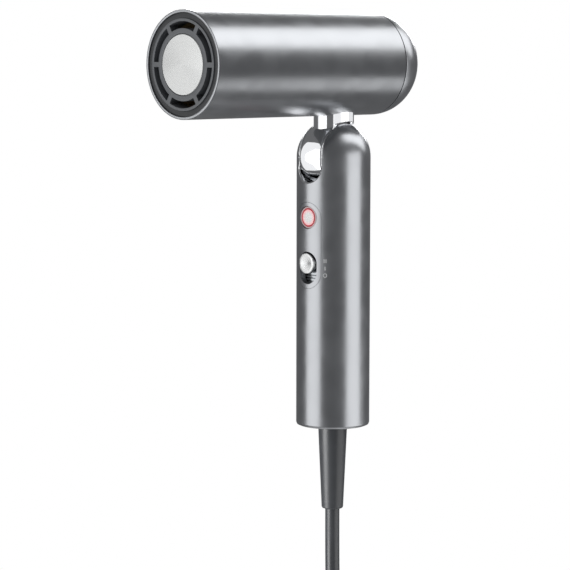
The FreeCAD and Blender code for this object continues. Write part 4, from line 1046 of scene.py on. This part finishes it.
class DRYER_OT_controls(bpy.types.Operator):
    """Makes the control panel, the lit power button, the speed slider and the marks beside it"""
    bl_idname = "dryer.controls"
    bl_label = "Controls"

    def execute(self, context):
        panel = refined("flush_control_panel", "control_panel")
        dress(panel, shell_finish(), "handle", ["control_panel"],
              [round_about(Vector(), "Z", GRIP_R)])
        self.button()
        self.knob()
        carriage = refined("slider_carriage", "slide_carriage")
        # polished dark chrome: mirrors the slot's walls and the left-hand light
        floor = finish("polished_dark_chrome", linear("#a5a8ab"), metallic=1.0, roughness=0.12, grain=1.2,
                       relief=0.002)
        dress(carriage, floor, "slider", ["slide_carriage"],
              [round_about(Vector(), "Z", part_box("slide_carriage")[0].y * -1)])
        self.marks()
        return {"FINISHED"}

    def button(self):
        ring_low, ring_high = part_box("light_ring")
        face, radius, edge = cap_low.y, 4.95 * MM, 0.3 * MM
        centre = Vector((0, 0, (ring_low.z + ring_high.z) / 2))
        flange, thick, stem = cap_high.x, 0.8 * MM, 1.1 * MM
        plate, groove_in, groove_out, bevel, floor = 3.6 * MM, 3.58 * MM, 4.17 * MM, 0.08 * MM, face + 0.7 * MM
        corners = frame["nodes"]["button_cap"].data.vertices
        flange_y = min(corner.co.y for corner in corners if abs(corner.co.x) > flange - 0.1 * MM)
        profile = [(face, reach * MM) for reach in (0, 1.2, 2.4, 3.5)]
        profile += [(face + bevel, groove_in), (floor, groove_in), (floor, groove_out),
                    (face + bevel, groove_out), (face, 4.25 * MM)]
        profile += arc(face + edge, radius - edge, edge, -90, 0, 6)
        profile += [(flange_y, radius), (flange_y, flange), (flange_y + thick, flange),
                    (flange_y + thick, stem), (cap_high.y, stem), (cap_high.y, 0)]
        cap = lathe("power_button", profile, centre, "Y", 96)
        # pearl-white translucent rim; the pink in its colour is painted glow from the ring's light
        rim = finish("pearl_rim_painted_glow", linear("#f3d9da"), roughness=0.3, ior=1.49, grain=0.6, relief=0.002)
        dress(cap, rim, "button", ["button_cap"])
        # the plate's colour is painted pinker towards its rim: painted glow from the ring light
        cap.data.materials.append(spun_metal("spun_button_aluminium", (0, face, centre.z), linear("#e4e4e3"),
                                             painted_glow_radius=plate))
        for polygon in cap.data.polygons:
            reach = math.hypot(polygon.center.x, polygon.center.z - centre.z)
            if reach < plate and polygon.center.y < face + 0.1 * MM:
                polygon.material_index = 1
        inner, outer, bevel = 3.62 * MM, 4.13 * MM, 0.03 * MM
        glow = lathe("button_ring_light", [
            (face + bevel, inner), (face, 3.72 * MM), (face, 4.03 * MM), (face + bevel, outer),
            (ring_high.y, outer), (ring_high.y, inner),
        ], centre, "Y", 96)
        dress(glow, slot_finish("ring_light"), "button", ["light_ring"])

    def knob(self):
        face, radius, edge, stem = knob_low.y, knob_high.x, 0.35 * MM, 1.9 * MM
        centre, back = Vector((0, 0, knob_low.z + radius)), face + 2 * MM
        profile = [(face + 0.12 * MM, 0), (face + 0.08 * MM, radius * 0.35), (face, radius * 0.7),
                   (face, radius - edge)]
        profile += arc(face + edge, radius - edge, edge, -70, 0, 5)
        profile += [(back, radius), (back, stem), (knob_high.y, stem), (knob_high.y, 0)]
        knob = lathe("speed_knob", profile, centre, "Y", 120)
        dress(knob, spun_metal("spun_knob_aluminium", (0, face, centre.z), linear("#e2e3e3")),
              "slider", ["slide_knob"])

    def marks(self):
        """Printed level marks beside the slider: two strokes, one stroke and a ring."""
        start = math.asin(8.7 * MM / GRIP_R)
        wide, high, drops = 0.42 * MM / 2, 1.7 * MM / 2, (45.4 * MM, 48.7 * MM, 51.8)

        def place(s, z, depth):
            turn = start + s / GRIP_R
            return Vector(((GRIP_R + depth) * math.sin(turn), -(GRIP_R + depth) * math.cos(turn), z))
        bm = bmesh.new()
        for s, drop in ((-0.45 * MM, drops[0]), (0.45 * MM, drops[0]), (0, drops[1])):
            z = HINGE.z - drop
            outline = [(s - wide, z - high), (s + wide, z - high), (s + wide, z + high), (s - wide, z + high)]
            near, far = ([bm.verts.new(place(*corner, depth)) for corner in outline]
                         for depth in (-MARKS_SUNK, MARKS_CLEAR))
            bm.faces.new(near)
            bm.faces.new(far[::-1])
            bridge(bm, near, far)
        turns = [2 * math.pi * i / 24 for i in range(24)]
        inner, outer = 0.62, 0.95
        loops = []
        for size, depth in ((inner, -MARKS_SUNK), (inner, MARKS_CLEAR), (outer, MARKS_CLEAR),
                            (outer, -MARKS_SUNK)):
            loops.append([bm.verts.new(place(size * MM * math.cos(turn),
                                             HINGE.z + (size * math.sin(turn) - drops[2]) * MM, depth))
                          for turn in turns])
        for first, second in zip(loops, loops[1:] + loops[:1]):
            bridge(bm, first, second)
        marks = from_bmesh("printed_level_marks", bm)
        ink = finish("grey_printing_ink", linear("#f2f3f3"), roughness=0.5, ior=1.5, grain=0.4, relief=0.001)
        dress(marks, ink, "handle")


class DRYER_OT_fasteners(bpy.types.Operator):
    """Makes the cross-head screws of the end cap and the cord clamp"""
    bl_idname = "dryer.fasteners"
    bl_label = "Handle Screws"

    def execute(self, context):
        tree, head = screw_tree(), 0.8 * MM
        co = [v.co for v in frame["nodes"]["handle_screws"].data.vertices]
        low = min(c.z for c in co)
        foot = [c for c in co if c.z < low + 0.01 * MM]
        clamp = [c for c in co if c.y < -4.5 * MM and c.z > GRIP_END + 6 * MM]
        foot_x, clamp_x = ((max(c.x for c in heads) + min(c.x for c in heads if c.x > 0)) / 2
                           for heads in (foot, clamp))
        clamp_z = (max(c.z for c in clamp) + min(c.z for c in clamp)) / 2
        clamp_y = min(c.y for c in clamp)
        groups = [
            (foot_x, (0, 0, low + head), math.pi, ["handle_screws"]),
            (clamp_x, (0, clamp_y + head, clamp_z), math.pi / 2, []),
        ]
        for number, (x, spot, turn, nodes) in enumerate(groups):
            place = Matrix.Translation(spot) @ Matrix.Rotation(turn, 4, "X")
            seeds = bpy.data.meshes.new("seeds")
            seeds.from_pydata([(-x, 0, 0), (x, 0, 0)], [], [])
            piece = grow(tree, f"cross_screws_{number}", {"Finish": slot_finish("steel"), "Head Height": head},
                         place, base=new_piece("seeds", seeds))
            dress(piece, None, "handle", nodes)
        return {"FINISHED"}


class DRYER_OT_inside(bpy.types.Operator):
    """Gives every piece inside the dryer its own finish"""
    bl_idname = "dryer.inside"
    bl_label = "Inner Pieces"

    def execute(self, context):
        slots = {part["node"]: part["material_slot"] for part in frame["record"]["subparts"]}
        for node, piece in frame["nodes"].items():
            if piece.hide_render:
                continue
            material = slot_finish(slots[node]) if slots[node] != "ring_light" else None
            for holder in piece.material_slots:
                holder.material = material
        return {"FINISHED"}


class DRYER_PT_panel(bpy.types.Panel):
    """Lists the dryer's pieces and sizes"""
    bl_label = "Hair Dryer"
    bl_idname = "DRYER_PT_panel"
    bl_space_type = "VIEW_3D"
    bl_region_type = "UI"
    bl_category = "Dryer"

    def draw(self, context):
        for step in STEPS:
            self.layout.operator(step.bl_idname)
        for group in (context.scene.dryer_sizes, context.scene.dryer_finish):
            for name in group.__annotations__:
                self.layout.prop(group, name)


STEPS = (DRYER_OT_stage, DRYER_OT_cord, DRYER_OT_barrel, DRYER_OT_outlet, DRYER_OT_inlet, DRYER_OT_neck,
         DRYER_OT_handle, DRYER_OT_controls, DRYER_OT_fasteners, DRYER_OT_inside)
CLASSES = (DryerSizes, DryerFinish, *STEPS, DRYER_PT_panel)


def register():
    for item in CLASSES:
        bpy.utils.register_class(item)
    bpy.types.Scene.dryer_sizes = PointerProperty(type=DryerSizes)
    bpy.types.Scene.dryer_finish = PointerProperty(type=DryerFinish)


def unregister():
    del bpy.types.Scene.dryer_finish
    del bpy.types.Scene.dryer_sizes
    for item in reversed(CLASSES):
        bpy.utils.unregister_class(item)


def main():
    register()
    for step in STEPS:
        group, name = step.bl_idname.split(".")
        getattr(getattr(bpy.ops, group), name)()


if __name__ == "__main__":
    main()
